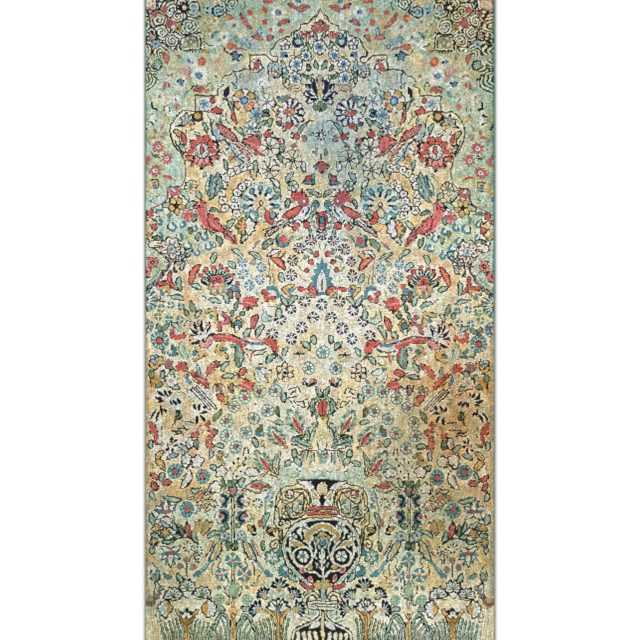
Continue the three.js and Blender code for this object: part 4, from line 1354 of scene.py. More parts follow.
def seed_pods(chart: Chart) -> None:
    """Draws the green pods split open over a red centre."""
    for base, tip, width in (((19, 433), (33, 410), 17), ((36, 447), (54, 425), 16), ((49, 473), (66, 450),
            17)):
        start, end = np.array(base), np.array(tip)
        inner = (0.97 * start + 0.03 * end, 0.28 * start + 0.72 * end)
        chart.leaf(base, tip, 1.3 * width, GREEN, teeth=5, strength=0.85)
        chart.leaf(base, tip, 1.05 * width, MINT, teeth=5, strength=0.9)
        chart.leaf(base, tip, 0.78 * width, SEA, teeth=5)
        along, across = ((end - start) / 2, np.array((start[1] - end[1],
                end[0] - start[0])) / np.hypot(*end - start))
        for share in (0.3, 0.7, 1.1, 1.5):
            for side in (-0.42 * width, 0.42 * width):
                lobe = start + share * along + 0.3 * side * across
                chart.line([tuple(lobe), tuple(lobe + 0.3 * along + side * across)], 1.8, PALE_MINT,
                        strength=0.8)
        chart.leaf(base, tuple(0.1 * start + 0.9 * end), 0.42 * width, CREAM)
        chart.leaf(*inner, 0.36 * width, CORAL)
        chart.line([inner[0], inner[1]], 1, BROWN)
        chart.disc(base, 1.6, AMBER)
    chart.disc((0, 408), 9.6, STRAW, strength=0.9)
    chart.leaves(GREEN, 4.6, (6, 400, 3, 397), (10, 405, 5, 399), (11, 411, 6, 404), (10, 416, 6, 410),
            (6, 419, 4, 414), (2, 400, 7, 397), strength=0.85)
    chart.leaves(PALE_MINT, 2.4, (9, 404, 6, 400), (10, 410, 7, 406), (9, 415, 7, 411))
    chart.rings((0, 408), 4.4, (CORAL, ROSE), 1.6)
    chart.lines(BROWN, 1.3, (0, 402, 0, 408), (0, 409, 0, 414))
    chart.disc((0, 417.5), 1.7, AMBER)
    chart.leaf((1, 397), (6.4, 387), 5.4, MINT, rim=MOSS, teeth=3)
    chart.leaves(SEA, 5, (9, 413, 8, 399), (30, 441, 18, 437), rim=MOSS, teeth=3)
    chart.leaves(SEA, 7.4, (29, 441, 10, 448), bend=0.08, teeth=5)
    chart.leaves(MINT, 7.4, (12, 441, 5, 421), teeth=5)
    chart.leaf((14, 440), (14, 427), 5, SEA, teeth=3)
    chart.lines(MOSS, 1, (29, 436, 20, 438, 10, 444), (12, 436, 10, 430, 4, 423),
            (30, 444, 22, 447, 14, 450), (20, 452, 25, 458, 24, 465), (14, 452, 16, 460), (8, 452, 8, 462),
            (22, 451, 4, 450))
    chart.lines(MOSS, 1.1, (5, 443, 4, 448, 0, 451), (13, 430, 12, 438), (26, 441, 14, 446))
    chart.leaves(SEA, 5, (18, 452, 22, 462), (12, 452, 12, 465), (4, 452, 1, 464))


def lower_branches(chart: Chart) -> None:
    """Lays the tan branches and the mint and peach clouds of the ground above the vase and beside it."""
    for outline, silk, strength in (([(176, 480), (150, 484), (128, 480), (112, 490), (118, 504),
            (150, 502), (176, 510)], TAN, 0.5), ([(46, 466), (20, 466), (0, 468), (0, 482), (24, 484),
            (44, 490)], PALE_MINT, 0.9), ([(36, 462), (10, 464), (0, 466), (0, 478), (20, 478)],
            WHITE, 0.5), ([(126, 570), (106, 572), (98, 590), (126, 592)], GOLD, 0.45), ([(72, 564),
            (56, 572), (54, 588), (74, 594)], GOLD, 0.45), ([(176, 548), (162, 552), (160, 566),
            (176, 566)], GOLD, 0.45), ([(146, 446), (110, 446), (96, 466), (122, 468), (146, 458)],
            STRAW, 0.6), ([(80, 470), (50, 478), (44, 500), (66, 512), (84, 496)], CREAM, 0.6)):
        chart.ground(outline, silk, soft=4, strength=strength)
    for u, v, radius in ((150, 508, 18), (120, 548, 22), (152, 578, 14), (112, 578, 12), (108, 530, 12)):
        chart.disc((u, v), radius, PEACH, strength=0.25)
    chart.lines(PEACH, 3, (173, 462, 174, 520, 173, 596), (170, 498, 160, 488, 140, 489, 122, 482),
            (124, 518, 123, 530), (63, 511, 60, 524), strength=0.85)


def lower_daisies(chart: Chart) -> None:
    """Draws the blue daisies, orchids and small leaves beside the parrots' tree."""
    for at in ((146, 471), (118, 476.5), (134, 509)):
        chart.disc(at, 8.6, WHITE, strength=0.8)
        chart.wheel(at, 2.4, 7.9, 10, TEAL, 0.45)
        chart.rings(at, 3, (MAUVE, CORAL, CORAL))
    for at, flip in (((155.5, 511), 1), ((150, 553), -1)):
        chart.disc(at, 11, CREAM, strength=0.6)
        for turn, reach, width, silk, rim in ((30, 11, 4.6, WHITE, MOSS), (150, 11, 4.6, WHITE, MOSS),
                (-38, 12, 5, CREAM, OLIVE), (218, 12, 5, CREAM, OLIVE), (66, 12, 5, TEAL, None),
                (114, 12, 5, TEAL, None), (4, 10, 4.6, TEAL, None), (176, 10, 4.6, TEAL, None),
                (90, 13, 5, CREAM, OLIVE)):
            angle = math.radians(turn * flip)
            tip = (at[0] - reach * math.cos(angle), at[1] - reach * math.sin(angle))
            chart.line([at, tip], width, silk, Shape.DROP, rim=rim)
        chart.flower(at, 2.7, 5, CORAL, depth=0.5)
    chart.leaves(GOLD, 5.6, (165, 461, 157, 451), (166, 459, 156, 470), rim=MOSS)
    chart.leaves(CORAL, 5, (162, 479, 170, 473), (163, 489, 169, 481), (159, 484, 150, 482), rim=BROWN)
    chart.leaves(CORAL, 6.4, (129, 538, 134, 521), rim=BROWN)
    chart.leaves(SEA, 5, (160, 481, 157, 472), (167, 500, 169, 491), (140, 500, 158, 496),
            (121, 490, 129, 489), (168, 524, 169, 513), (151, 526, 161, 520), (142, 533, 147, 520),
            (161, 535, 170, 534), (146, 539, 158, 541), (124, 541, 128, 530), (169, 553, 166, 545),
            (104, 468, 111, 465), (113, 537, 100, 530), (100, 530, 92, 526), (80, 487, 77, 478),
            (57, 525, 52, 512), (139, 580, 144, 573), (25, 581, 32, 572), (139, 536, 149, 534), rim=MOSS,
            vein=MINT)
    chart.leaves(GREEN, 3.4, (119, 533, 119, 520), (138, 535, 140, 524), (95, 487, 98, 478),
            (58, 550, 57, 540), rim=OLIVE)
    chart.leaves(MINT, 5.4, (44, 476, 41, 451), (28, 457, 22, 466), (36, 466, 30, 461), rim=MOSS)
    chart.leaves(WHITE, 8, (139, 488, 131, 470), bend=-0.08)
    chart.lines(GREY, 3, (138, 486, 133, 473), shape=Shape.LEAF, strength=0.6)
    chart.lines(MOSS, 1, (131, 470, 129, 476, 131, 482, 136, 487), (142, 489, 137, 480, 134, 474),
            strength=0.9)
    for at in ((135, 459), (124, 461), (105, 487), (100, 471)):
        chart.petals(at, 0, 5.6, 5, 4.6, WHITE, turn=15, rim=MOSS)
        chart.disc(at, 1.4, CREAM, strength=0.9)
    for at, silk in (((133, 546.5), CREAM), ((122.5, 550), SKY), ((63, 503), CREAM)):
        chart.disc(at, 5.4, WHITE, strength=0.8)
        chart.disc(at, 2.4, silk, strength=0.9)
        chart.wheel(at, 2.6, 5.2, 8, BLACK, 1.7, turn=15, strength=1)
    for at in ((165, 527), (155, 532), (166, 541)):
        chart.disc(at, 4.2, GOLD, strength=0.95)
        chart.wheel(at, 2.4, 4.4, 8, MOSS, 1.2, strength=0.8)
    chart.lines(MOSS, 1.4, (165, 530, 160, 536, 150, 540, 140, 538, 130, 538, 123, 543),
            (151, 526, 139, 537), (146, 522, 142, 534), (163, 541, 168, 548), (134, 576, 134, 563),
            (136, 468, 130, 464), (134, 519, 134, 524))
    for run in ((131, 498, 127, 496, 125, 499, 122, 502), (119, 489, 118, 493, 113, 491, 112, 486),
            (115, 496, 112, 494, 110, 497, 113, 500, 108, 499), (124, 503, 120, 500, 117, 503, 121, 506),
            (116, 504, 114, 509, 111, 504, 107, 508), (79, 490, 75, 486, 72, 487),
            (58, 477, 52, 474, 44, 477), (56, 471, 53, 474), (46, 466, 44, 472), (96, 491, 92, 494),
            (129, 556, 124, 552)):
        chart.lines(STRAW, 3, run)
        chart.lines(MOSS, 1.1, run)
    chart.leaves(ORANGE, 3.6, (119, 500, 122, 492), (117, 535, 112, 524))
    chart.petals((118, 536), 5, 17, 4, 3.4, GOLD, turn=86, spread=50)
    chart.leaf((119, 534), (117, 520), 3.6, GREEN)
    chart.leaves(GOLD, 4, (124, 531, 121, 519), (65, 529, 74, 526), (53, 531, 45, 529), rim=AMBER)
    chart.leaves(BLACK, 2.8, (64, 531, 68, 523), (63, 532, 71, 533), (54, 532, 51, 523), (53, 533, 45, 536))
    chart.leaf((58, 527), (62, 519), 4.6, CORAL)
    chart.discs(BLACK, (88, 462, 1.4), (83, 458, 1.4), (75, 458, 1.4), (77, 465, 1.4), (80, 471, 1.4),
            (84, 476, 1.4), (92, 467, 1.2), (88, 473, 1.1), rim=WHITE)
    chart.lines(OLIVE, 0.9, (83, 458, 83, 466, 87, 472, 88, 480), (75, 458, 80, 464, 84, 466),
            (66, 462, 70, 467))
    chart.petals((69, 476), 1, 8, 5, 4, WHITE, turn=90, spread=110, rim=SKY)
    chart.lines(SEA, 1.6, (51, 490, 54, 498, 56, 507, 57, 538))
    chart.leaves(SKY, 3.4, (53, 497, 47, 491), (55, 502, 49, 497), (125, 513, 121, 509))
    chart.discs(MAUVE, (134, 559, 3.4), (140, 566.5, 3.4), (128, 567.5, 3.4), strength=0.85)
    chart.discs(ROSE, (134, 559, 1.4), (140, 566.5, 1.4), (128, 567.5, 1.4), strength=0.8)
    chart.petals((124, 560), 0.6, 3.4, 4, 2, NAVY, turn=45)


def lying_pod(chart: Chart) -> None:
    """Draws the green pod with a red centre that lies level above the vase's handle."""
    chart.leaf((52, 487), (74, 486), 15, SEA, rim=GREEN, teeth=5)
    chart.leaf((53, 487), (73, 486), 9.4, CREAM, rim=MINT)
    chart.leaf((55, 486.5), (70, 485.5), 5.4, CORAL, rim=ROSE)
    chart.disc((52, 487), 1.8, OLIVE)


def parrots(chart: Chart) -> None:
    """Draws the two facing parrots, and between them the stem with its half flowers and hatched balls."""
    chart.lines(MOSS, 3.2, (88, 497, 88, 548), (88, 564, 88, 606))
    chart.lines(CREAM, 1.2, (88, 497, 88, 548), (88, 564, 88, 606))
    chart.leaf((88, 496), (88, 482), 9, TEAL, rim=NAVY)
    chart.leaf((88, 494), (88, 484), 5.4, CORAL)
    chart.leaves(GREEN, 4.4, (88, 486, 92, 480), (88, 486, 84, 480), (92, 528, 96, 522), (84, 528, 80, 522),
            (92, 549, 92, 541), (85, 549, 85, 541), rim=MOSS)
    for side in (-1, 1):
        for v, reach, white in ((500, 10.2, -4), (516.5, 11, 5)):
            at = (88.2 + side * reach, v)
            chart.petals(at, 0, 6.6, 5, 4.6, WHITE, turn=90 + side * 90, spread=190)
            chart.petals(at, 2, 7, 6, 4, TEAL, turn=90 - side * 85, spread=170)
            chart.petals(at, 3, 6, 6, 2.8, NAVY, turn=90 - side * 85, spread=150)
            chart.disc((at[0] + side, v - white / 5), 2.3, CORAL if v > 510 else PINK)
        def near(*runs: float) -> tuple[float, ...]:
            """Turns distances from the stem into knots on this side of it."""
            return tuple(88.2 + side * value if i % 2 == 0 else value for i, value in enumerate(runs))
        chart.lines(TEAL, 3.6, near(21, 557, 27, 565, 35, 575), near(31, 569, 39, 575), strength=0.9)
        chart.lines(SKY, 1, near(24, 561, 32, 570))
        chart.lines(TEAL, 9.4, near(11, 539, 14, 547, 18, 554, 23, 560), shape=Shape.LEAF)
        chart.lines(STRAW, 7.6, near(11, 540, 14, 547, 18, 553, 22, 559), shape=Shape.LEAF)
        chart.lines(GOLD, 2.4, near(13, 543, 15, 549, 19, 556), strength=0.8)
        chart.lines(TEAL, 2.2, near(16, 543, 20, 550, 23, 556), strength=0.9)
        chart.lines(ORANGE, 1.8, near(20, 540, 24, 547, 28, 556), strength=0.7)
        chart.lines(MOSS, 1.2, near(18, 540, 22, 548, 26, 555), near(10, 542, 12, 550, 16, 556))
        chart.flower((88.2 + side * 8.4, 535), 4.8, 5, SKY, rim=SEA, depth=0.08)
        chart.disc((88.2 + side * 8.4, 535), 2.8, WHITE, strength=0.8)
        chart.disc((88.2 + side * 8.4, 534.5), 1.6, MAUVE)
        chart.disc((88.2 + side * 11, 574), 5.6, WHITE, strength=0.9)
        chart.wheel((88.2 + side * 11, 574), 2.2, 7, 5, TEAL, 1.6, turn=side * 20)
        chart.disc((88.2 + side * 11, 574.5), 2, ORANGE, strength=0.9)
        chart.disc((88.2 + side * 13.6, 587), 2.4, TEAL, strength=0.9)
        chart.lines(MOSS, 1, near(6, 576, 4, 582, 9, 588), near(15, 556, 12, 560, 15, 566, 11, 568),
                near(9, 585, 8, 590), near(20, 562, 21, 568, 20, 574), near(3, 598, 8, 592))
        chart.disc((88.2 + side * 13.6, 599), 5.6, GREEN, strength=0.9)
        for step in (-3, 0, 3):
            chart.lines(MINT, 0.8, near(9, 599 + step, 18, 599 + step),
                    near(13.6 + step, 594, 13.6 + step, 604))
        chart.lines(SEA, 4, (88.2 + side * 11, 608, 88.2 + side * 16, 608), rim=MOSS)
    chart.wheel((88, 559), 1, 7.4, 5, TEAL, 1.4, turn=54)
    chart.disc((88, 559.5), 2.1, ORANGE, strength=0.9)
    chart.leaf((88, 598), (88, 580), 12, GREEN)
    for step in (-3, 0, 3):
        chart.lines(MINT, 0.8, (84, 588 + step, 93, 588 + step), (88 + step, 583, 88 + step, 594))
    chart.disc((88, 609), 4, GOLD, strength=0.6)


def palmettes(chart: Chart) -> None:
    """Draws the grey and white palmettes, the shells of gold and white and the teal cup at the side."""
    chart.leaf((134, 597), (134, 582), 12, WHITE, rim=MOSS)
    for at, turn in (((134, 588), 90), ((148, 595), 100), ((119, 595), 74)):
        chart.petals(at, 0, 8.4, 6, 4.6, WHITE, turn=turn, spread=170, rim=MOSS)
        chart.petals(at, 3, 7, 6, 1.1, MOSS, turn=turn, spread=170)
        chart.petals(at, 2, 6, 5, 1.3, SKY, turn=turn, spread=120)
        chart.disc((at[0], at[1] - 0.6), 2.3, OLIVE, strength=0.8)
    chart.lines(MOSS, 1, (155, 598, 149, 599.5, 141, 598), (127, 598, 120, 599, 112, 597))
    for side, u in ((-1, 154), (1, 113)):
        chart.petals((u, 608), 0, 8.4, 6, 4.8, WHITE, turn=90 + 90 * -side, spread=170, rim=MOSS)
        chart.petals((u, 608), 2, 7, 5, 1, SKY, turn=90 + 90 * -side, spread=140)
        chart.ground([(u, 601), (u + 2.6 * side, 602), (u + 6 * side, 607), (u + 4.4 * side, 611),
                (u, 615)], GOLD)
        chart.lines(OLIVE, 1.1, (u + side, 601, u + 6 * side, 606, u + 5 * side, 610, u + 2 * side, 614))
        chart.lines(AMBER, 1, (u + side, 603, u + 3 * side, 606, u + side, 609, u + 3 * side, 612))
    chart.leaf((162, 621), (162, 610), 5, TEAL, rim=SEA)
    chart.lines(TEAL, 4, (157, 571, 155, 576, 149, 577), shape=Shape.LEAF)
    chart.disc((149.5, 571.5), 2.8, GOLD, strength=0.7)
    chart.lines(MOSS, 1.3, (169, 571, 166, 580, 168, 598), (162, 570, 164, 580, 160, 586),
            (157, 585, 162, 590), (160, 592, 165, 598), (168, 563, 163, 568), (166, 582, 162, 578))
    chart.leaves(SEA, 3, (166, 581, 168, 571), (164, 579, 162, 570), (162, 591, 157, 585),
            (167, 592, 161, 597))
    chart.leaves(MAUVE, 3, (166, 597, 160, 592), (164, 591, 160, 588))


def ewer_handle(chart: Chart) -> None:
    """Draws the scrolled handle of the ewer and the curl on which it stands."""
    chart.ground([(45, 505), (44, 494), (39, 488), (28, 486), (17, 487), (11, 493), (9, 504), (14, 513),
            (24, 519), (40, 519)], STRAW, soft=0.5, strength=0.9)
    chart.lines(GOLD, 2, (43, 497, 36, 490, 26, 488, 16, 490, 12, 497), (30, 502, 22, 494), strength=0.6)
    chart.lines(STRAW, 6, (43, 504, 44, 518, 41, 530, 39.5, 549), strength=0.9)
    chart.disc((32, 494), 4, CREAM, strength=0.9)
    chart.disc((24, 508), 5, PALE_MINT, strength=0.9)
    chart.discs(PINK, (32, 494, 1.6), (24, 508, 1.4))
    chart.lines(OLIVE, 1.2, (38, 508, 39, 514, 33, 515), (22, 499, 20, 503, 23, 504),
            (36, 499, 31, 502, 26, 499), (40, 493, 38, 498, 39, 503), (24, 491, 30, 491),
            (14, 494, 15, 497, 13, 502), (27, 515, 22, 515), (43, 520, 40, 516), (36, 522, 33, 523),
            (44, 526, 40, 530, 40, 540))
    chart.leaves(SEA, 4.4, (36, 506, 30, 517), (18, 503, 26, 497))
    chart.lines(MOSS, 1.2, (23, 481, 27, 485, 34, 486, 40, 489, 44, 495, 45, 505, 42, 509),
            (41, 487, 41, 497, 43, 505), (37, 492, 29, 489.4, 20, 489, 13, 494, 11.4, 503, 15, 511, 22, 517,
            31, 518, 40, 517, 36, 512), (36, 494, 34, 498, 29, 497, 28, 492, 32, 490, 36, 494),
            (40, 499, 35, 504, 29, 501, 23, 496, 19, 492), (26, 492, 20, 493, 17, 497, 18, 506, 21, 510),
            (28, 503, 29, 508, 26, 513, 20, 512, 18, 507), (16, 498, 14, 503, 17, 511),
            (36, 507, 34, 513, 30, 517), (46, 506, 47, 514, 46, 523, 42, 530, 41, 547),
            (42, 512, 42, 518, 38, 524), (39, 529, 38, 548), (37, 520, 32, 519, 30, 524, 36, 528),
            (44, 511, 46, 508, 44, 505))
    chart.scroll((40, 522), 4.4, 1.2, MOSS, start=3, width=1.1)
    chart.scroll((46, 544), 6.4, 1.4, MOSS, start=1, width=1.3)
    chart.disc((40, 551.5), 3.6, TEAL)


def ewer(chart: Chart) -> None:
    """Draws the great black ewer with gold scrolls and white flowers on the middle line."""
    body = [(0, 519), (15, 520), (27, 527), (35, 540), (37, 551), (34, 562), (26, 572), (14, 583), (6, 592),
            (3.5, 601), (0, 601)]
    neck = [(0, 479), (22, 480), (14, 487), (9.5, 495), (8, 505), (0, 505)]
    foot = [(0, 608), (3, 609), (2.5, 616), (8, 622), (20, 627), (28, 633), (30, 649), (0, 649)]
    for outline in (body, neck, foot):
        chart.ground(outline, BLACK)
    for silk, width in ((MOSS, 5.4), (CREAM, 3.2)):
        chart.lines(silk, width, (0, 518.5, 15, 519.5, 27, 526, 35, 537, 37, 550, 34, 561, 26, 571, 14, 583,
                6, 591, 3.6, 601))
    chart.lines(MINT, 1.2, (28, 527, 36, 539, 36.6, 551, 33, 562, 25, 572, 14, 583))
    chart.lines(CREAM, 1.8, (23, 481, 14, 488, 9.5, 496, 8, 505), (3, 609, 2.8, 615, 9, 622, 20, 627,
            28, 633, 30, 649), rim=OLIVE)
    chart.lines(SEA, 1.3, (22, 479, 0, 478.6))
    for v, reach, width, silk in ((508, 12, 2.4, CORAL), (510.4, 12, 1.6, CREAM), (513, 14, 2.4, CORAL),
            (516, 9, 2.4, GOLD)):
        chart.lines(silk, width, (0, v, reach, v))
    chart.lines(BROWN, 1, (0, 509.4, 12, 509.4), (0, 514.4, 14, 514.4), (9, 517.6, 0, 518),
            (0, 506, 9, 506))
    chart.ground([(0, 601), (15, 600.6), (12.5, 609), (0, 609)], CREAM)
    chart.lines(MOSS, 1, (0, 601, 15, 601, 15, 604, 12, 608.6, 0, 608.6), (0, 603.6, 13, 603.6),
            (0, 606, 12, 606), strength=0.85)
    chart.leaves(WHITE, 7, (7, 488, 20, 481), (2, 505, 6, 499))
    chart.leaves(GREY, 2, (14, 485, 11, 482))
    chart.leaves(STRAW, 6, (1, 499, 9, 489), (1, 495, 1, 482))
    for silk, width in ((CREAM, 7.4), (GOLD, 4.4)):
        chart.lines(silk, width, (0, 526, 7, 528, 13, 533, 15, 541, 21, 544, 28, 542))
    chart.lines(CREAM, 2, (10, 536, 6, 546, 6, 552, 9, 558), (31, 543, 31, 553, 27, 562, 19, 568, 12, 571,
            7, 571, 2, 576), (0, 549, 0, 577), (0, 559, 3, 552), (0, 564, 5, 557), (0, 570, 6, 563),
            (16, 541, 10, 548), (21, 531, 20, 537))
    chart.flowers(WHITE, 5, (17.5, 526.5, 5), (28.5, 536, 4.6), (33.6, 549, 2.6), (22.5, 530.5, 2.6))
    chart.disc((18.5, 556), 11, CREAM)
    chart.disc((18.5, 556), 8.4, BLACK)
    chart.flower((18.5, 556), 5.8, 6, WHITE, heart=GREEN, depth=0.3)
    chart.lines(BLACK, 1.8, (20, 540, 14, 546), (19, 532, 17, 538), (9, 541, 7, 549), (3.4, 551, 3.4, 560),
            (24, 546, 27, 549))
    chart.ground([(0, 530), (4, 533), (7, 537), (6, 544), (3, 548), (-3, 548), (-6, 542), (-4, 532)],
            PALE_MINT, soft=0.5, strength=0.9)
    chart.leaves(GOLD, 3.4, (7, 539, 3, 534), (0, 539, 0, 530))
    chart.lines(OLIVE, 1, (2, 540, 4, 536, 7, 536), (0, 547, 4, 543))
    chart.disc((0, 542.5), 2.5, BLUE, strength=0.95)
    chart.disc((12, 566.5), 3, GOLD)
    chart.disc((5, 566.5), 2.2, NAVY)
    chart.disc((5, 566), 1, SKY)
    chart.leaves(PINK, 5, (17, 573, 21, 566), (9, 582, 12, 574))
    chart.leaves(ROSE, 2.4, (18, 572, 20, 567), (10, 580, 12, 575))
    chart.petals((0, 589), 1, 11, 5, 5, GOLD, turn=90, spread=120)
    chart.lines(MINT, 1.4, (0, 588, 0, 578))
    chart.lines(GREY, 4, (0, 590, 0, 600))
    chart.leaf((12, 628), (2, 621), 6, WHITE, rim=GREY)
    chart.lines(STRAW, 3, (0, 612, 0, 640), rim=BROWN)
    for u in (6, 11.5, 17, 23):
        chart.lines(CREAM, 3.6, (u, 649, u + 0.5, 633), rim=OLIVE)
    chart.lines(STRAW, 1.8, (0, 650, 31, 650), rim=OLIVE)
    chart.lines(CORAL, 2.8, (20, 583, 16, 586, 11, 587), rim=BROWN)
    chart.disc((16.5, 593), 2.4, SEA)
    chart.lines(STRAW, 2.4, (18, 600, 15, 595, 9, 593, 5, 597), rim=MOSS)
    chart.lines(OLIVE, 1.1, (13, 610, 13, 614), (12, 618, 16, 616), (22, 619, 13, 622))
    chart.disc((9, 612), 3, MINT, strength=0.7)


def carnations(chart: Chart) -> None:
    """Draws the spray of black-rayed carnations on a gold stem beside the ewer."""
    for at, turn, spread, calyx in (((42, 587), 90, 150, (42, 592)), ((56, 596), 128, 110, (54, 598)),
            ((30, 596), 52, 110, (32, 598)), ((62, 609), 160, 140, (58, 609)), ((25, 609),
            20, 140, (29, 609))):
        chart.disc(calyx, 5, MINT, strength=0.9)
        chart.disc(at, 7.6, WHITE, strength=0.6)
        chart.petals(at, 3, 10, 6, 3.3, BLACK, turn=turn, spread=spread)
        chart.petals(at, 2, 7, 5, 1.4, SKY, turn=turn, spread=spread * 0.8)
        chart.flower(at, 2.8, 5, GOLD)
    chart.petals((43, 610), 1, 10.6, 7, 4, WHITE, turn=90, spread=140, rim=MOSS)
    chart.petals((43, 610), 3, 9, 4, 1.6, BLACK, turn=90, spread=66)
    chart.disc((43, 609), 2, TEAL)
    chart.lines(GOLD, 2.6, (54, 609, 48, 614, 44, 624), (32, 609, 38, 614, 42, 624))
    chart.lines(GOLD, 4.6, (43, 649, 43, 612))
    chart.lines(BROWN, 1, (41.6, 646, 41.8, 612), (44.4, 646, 44.2, 612), (51, 609, 46, 615),
            (35, 609, 40, 615), strength=0.85)
    chart.petals((49, 556), 1, 7, 6, 4.4, SEA, rim=TEAL)
    chart.petals((49, 556), 1, 5, 6, 2, WHITE)
    chart.petals((36, 570), 0, 7, 5, 5, TEAL, turn=170, spread=190)
    chart.disc((35, 568), 2.6, WHITE)


def meadow(chart: Chart) -> None:
    """Draws the arched blades of grass and the gold flower stems along the foot of the rug."""
    chart.ground([(166, 662), (160, 640), (150, 632), (100, 628), (30, 640), (30, 662)], MOSS, soft=5,
            strength=0.15)
    for root, side in ((134, 1), (134, -1), (88, 1), (88, -1), (43, 1), (43, -1)):
        for i in range(6):
            foot = root + side * (4.6 + 3.7 * i)
            if not 31 < foot < 160:
                continue
            top = 617 + 1.5 * i if root != 88 else 614 + 3.4 * i
            tip = foot + side * (2 if root != 88 else 7 - i)
            run = (foot - side * 1.5, 652, foot - side, 636, foot, top + 8, tip, top)
            chart.lines(MOSS, 2.5, run, strength=0.85)
            chart.lines(SEA if i % 2 else MINT, 1.2, run)
    chart.lines(MOSS, 3.4, (86, 651, 85, 630, 80, 618, 76, 614, 71, 618, 66, 630),
            (107, 628, 103, 617, 99, 614, 94, 618, 91, 632, 90, 651))
    chart.lines(SEA, 1.8, (86, 651, 85, 630, 80, 618, 76, 614, 71, 618, 66, 630),
            (107, 628, 103, 617, 99, 614, 94, 618, 91, 632, 90, 651))
    chart.lines(GOLD, 4, (134, 651, 134, 624), (88, 651, 88, 615))
    chart.lines(GOLD, 2.4, (144, 610, 138, 617, 135, 627), (124, 610, 130, 617, 133, 627))
    chart.lines(BROWN, 1, (88, 651, 88, 612), (134, 651, 134, 620), (93, 610, 89, 618), (83, 610, 87, 618),
            strength=0.85)
    chart.ground([(142, 614), (136, 617), (132, 617), (126, 614), (129, 621), (132, 629), (136, 629),
            (139, 621)], AMBER, soft=0.6)
    chart.lines(BROWN, 1, (140, 616, 136, 622, 132, 619, 128, 616), (138, 620, 134, 625, 130, 620),
            strength=0.9)
    chart.petals((134, 616), 1, 5, 4, 2.6, WHITE, turn=90, spread=150, rim=OLIVE)
    chart.discs(BLACK, (134, 609, 1.8), (139, 612, 1.4), (130, 611, 1.4), rim=GREY)
    chart.lines(GREEN, 6, (163, 655, 30, 655), rim=MOSS, strength=0.8)


def side_strips(chart: Chart) -> None:
    """Draws the thin guard stripes of both sides and both ends, the waving stripes of the low corners, and a
    painted fold shadow across them.
    """
    sides = [(176.2, -20), (176.2, 596)]
    chart.line(sides, 2, TEAL, strength=0.55)
    chart.lines(GREY, 4.6, (176, 322, 176.4, 592), strength=0.8)
    chart.lines(AMBER, 1, (173.4, 322, 173, 460, 173.4, 596), strength=0.55)
    chart.ground([(182, 596), (163, 606), (160, 622), (163, 662), (182, 662)], CREAM, soft=2, strength=0.9)
    for i, silk in enumerate((TAN, PEACH, STRAW, GREY, GOLD, TAN)):
        u = 178 - 2.9 * i
        chart.lines(silk, 1.4, (u, 604, u + 0.8, 616, u - 1, 630, u - 1.6, 662), strength=0.7)
    # A brown smudge across the stripes where the low corner folds: painted fold shadow
    chart.disc((171, 601), 6, BROWN, strength=0.45)
    chart.lines(BROWN, 3.4, (178, 600, 170, 603, 166, 599), strength=0.6)
    for v in (-18.6, 658.6):
        chart.lines(STRAW, 3, (-2, v, 182, v))
        chart.lines(TEAL, 1.2, (-2, v + (2 if v < 0 else -2), 182, v + (2 if v < 0 else -2)), strength=0.8)


def sprinkle(chart: Chart) -> None:
    """Scatters small leaves, buds and tendrils over what is left of the ground, as the weaver filled it."""
    draw = np.random.default_rng(7)
    tries, kinds, taken_share, calm_share = 5200, 9, 0.02, 0.8
    for _ in range(tries):
        u, v = draw.uniform(2, 171), draw.uniform(-14, 606)
        size, angle, kind = draw.uniform(2.2, 4.4), draw.uniform(0, 2 * math.pi), draw.integers(kinds)
        window = chart.cells_near(u - size, u + size, v - size, v + size)
        # The ground stays calmer near the middle line and outside the arch
        calm = u < 46 and 285 < v < 470 or u < 40 and 95 < v < 205 or beyond_arch(u, v)
        if chart.taken[window].mean() > taken_share or (calm and draw.random() < calm_share):
            continue
        du, dv = size * math.cos(angle), size * math.sin(angle)
        if kind < 3:
            chart.leaves(LEAFY[kind], 2.4, (u - du, v - dv, u + du, v + dv), bend=0.15)
        elif kind == 3:
            chart.disc((u, v), 0.3 * size, ROSE, strength=0.8)
        else:
            chart.line([(u - du, v - dv), (u + 0.4 * dv, v - 0.4 * du), (u + du, v + dv)], 1,
                       (OLIVE, MOSS, TAN, TAN, GREEN)[kind - 4])
        taken = chart.taken[window]
        np.maximum(taken, 0.15, out=taken)


def draw_half() -> Chart:
    """Draws the whole half of the cartoon, from the ground up.

    Returns:
        The finished chart.
    """
    chart = Chart()
    for part in (grounds, gold_branches, middle_branches, lower_branches, spandrel, shoulder, corner_ornament,
                 cusps, crown, red_palmette, crown_sides, red_bird, band_of_lobes, teal_fan, left_sprigs,
                 side_knot, heart_of_tree, rosettes, red_songbird, pheasant, side_blooms, rug_palmette,
                 centre_blooms, paradise_birds, claws_and_tulips, seed_pods, lower_daisies, lying_pod,
                 parrots, palmettes, carnations, meadow, ewer_handle, ewer, side_strips, arch_line):
        part(chart)
    sprinkle(chart)
    chart.key()
    return chart


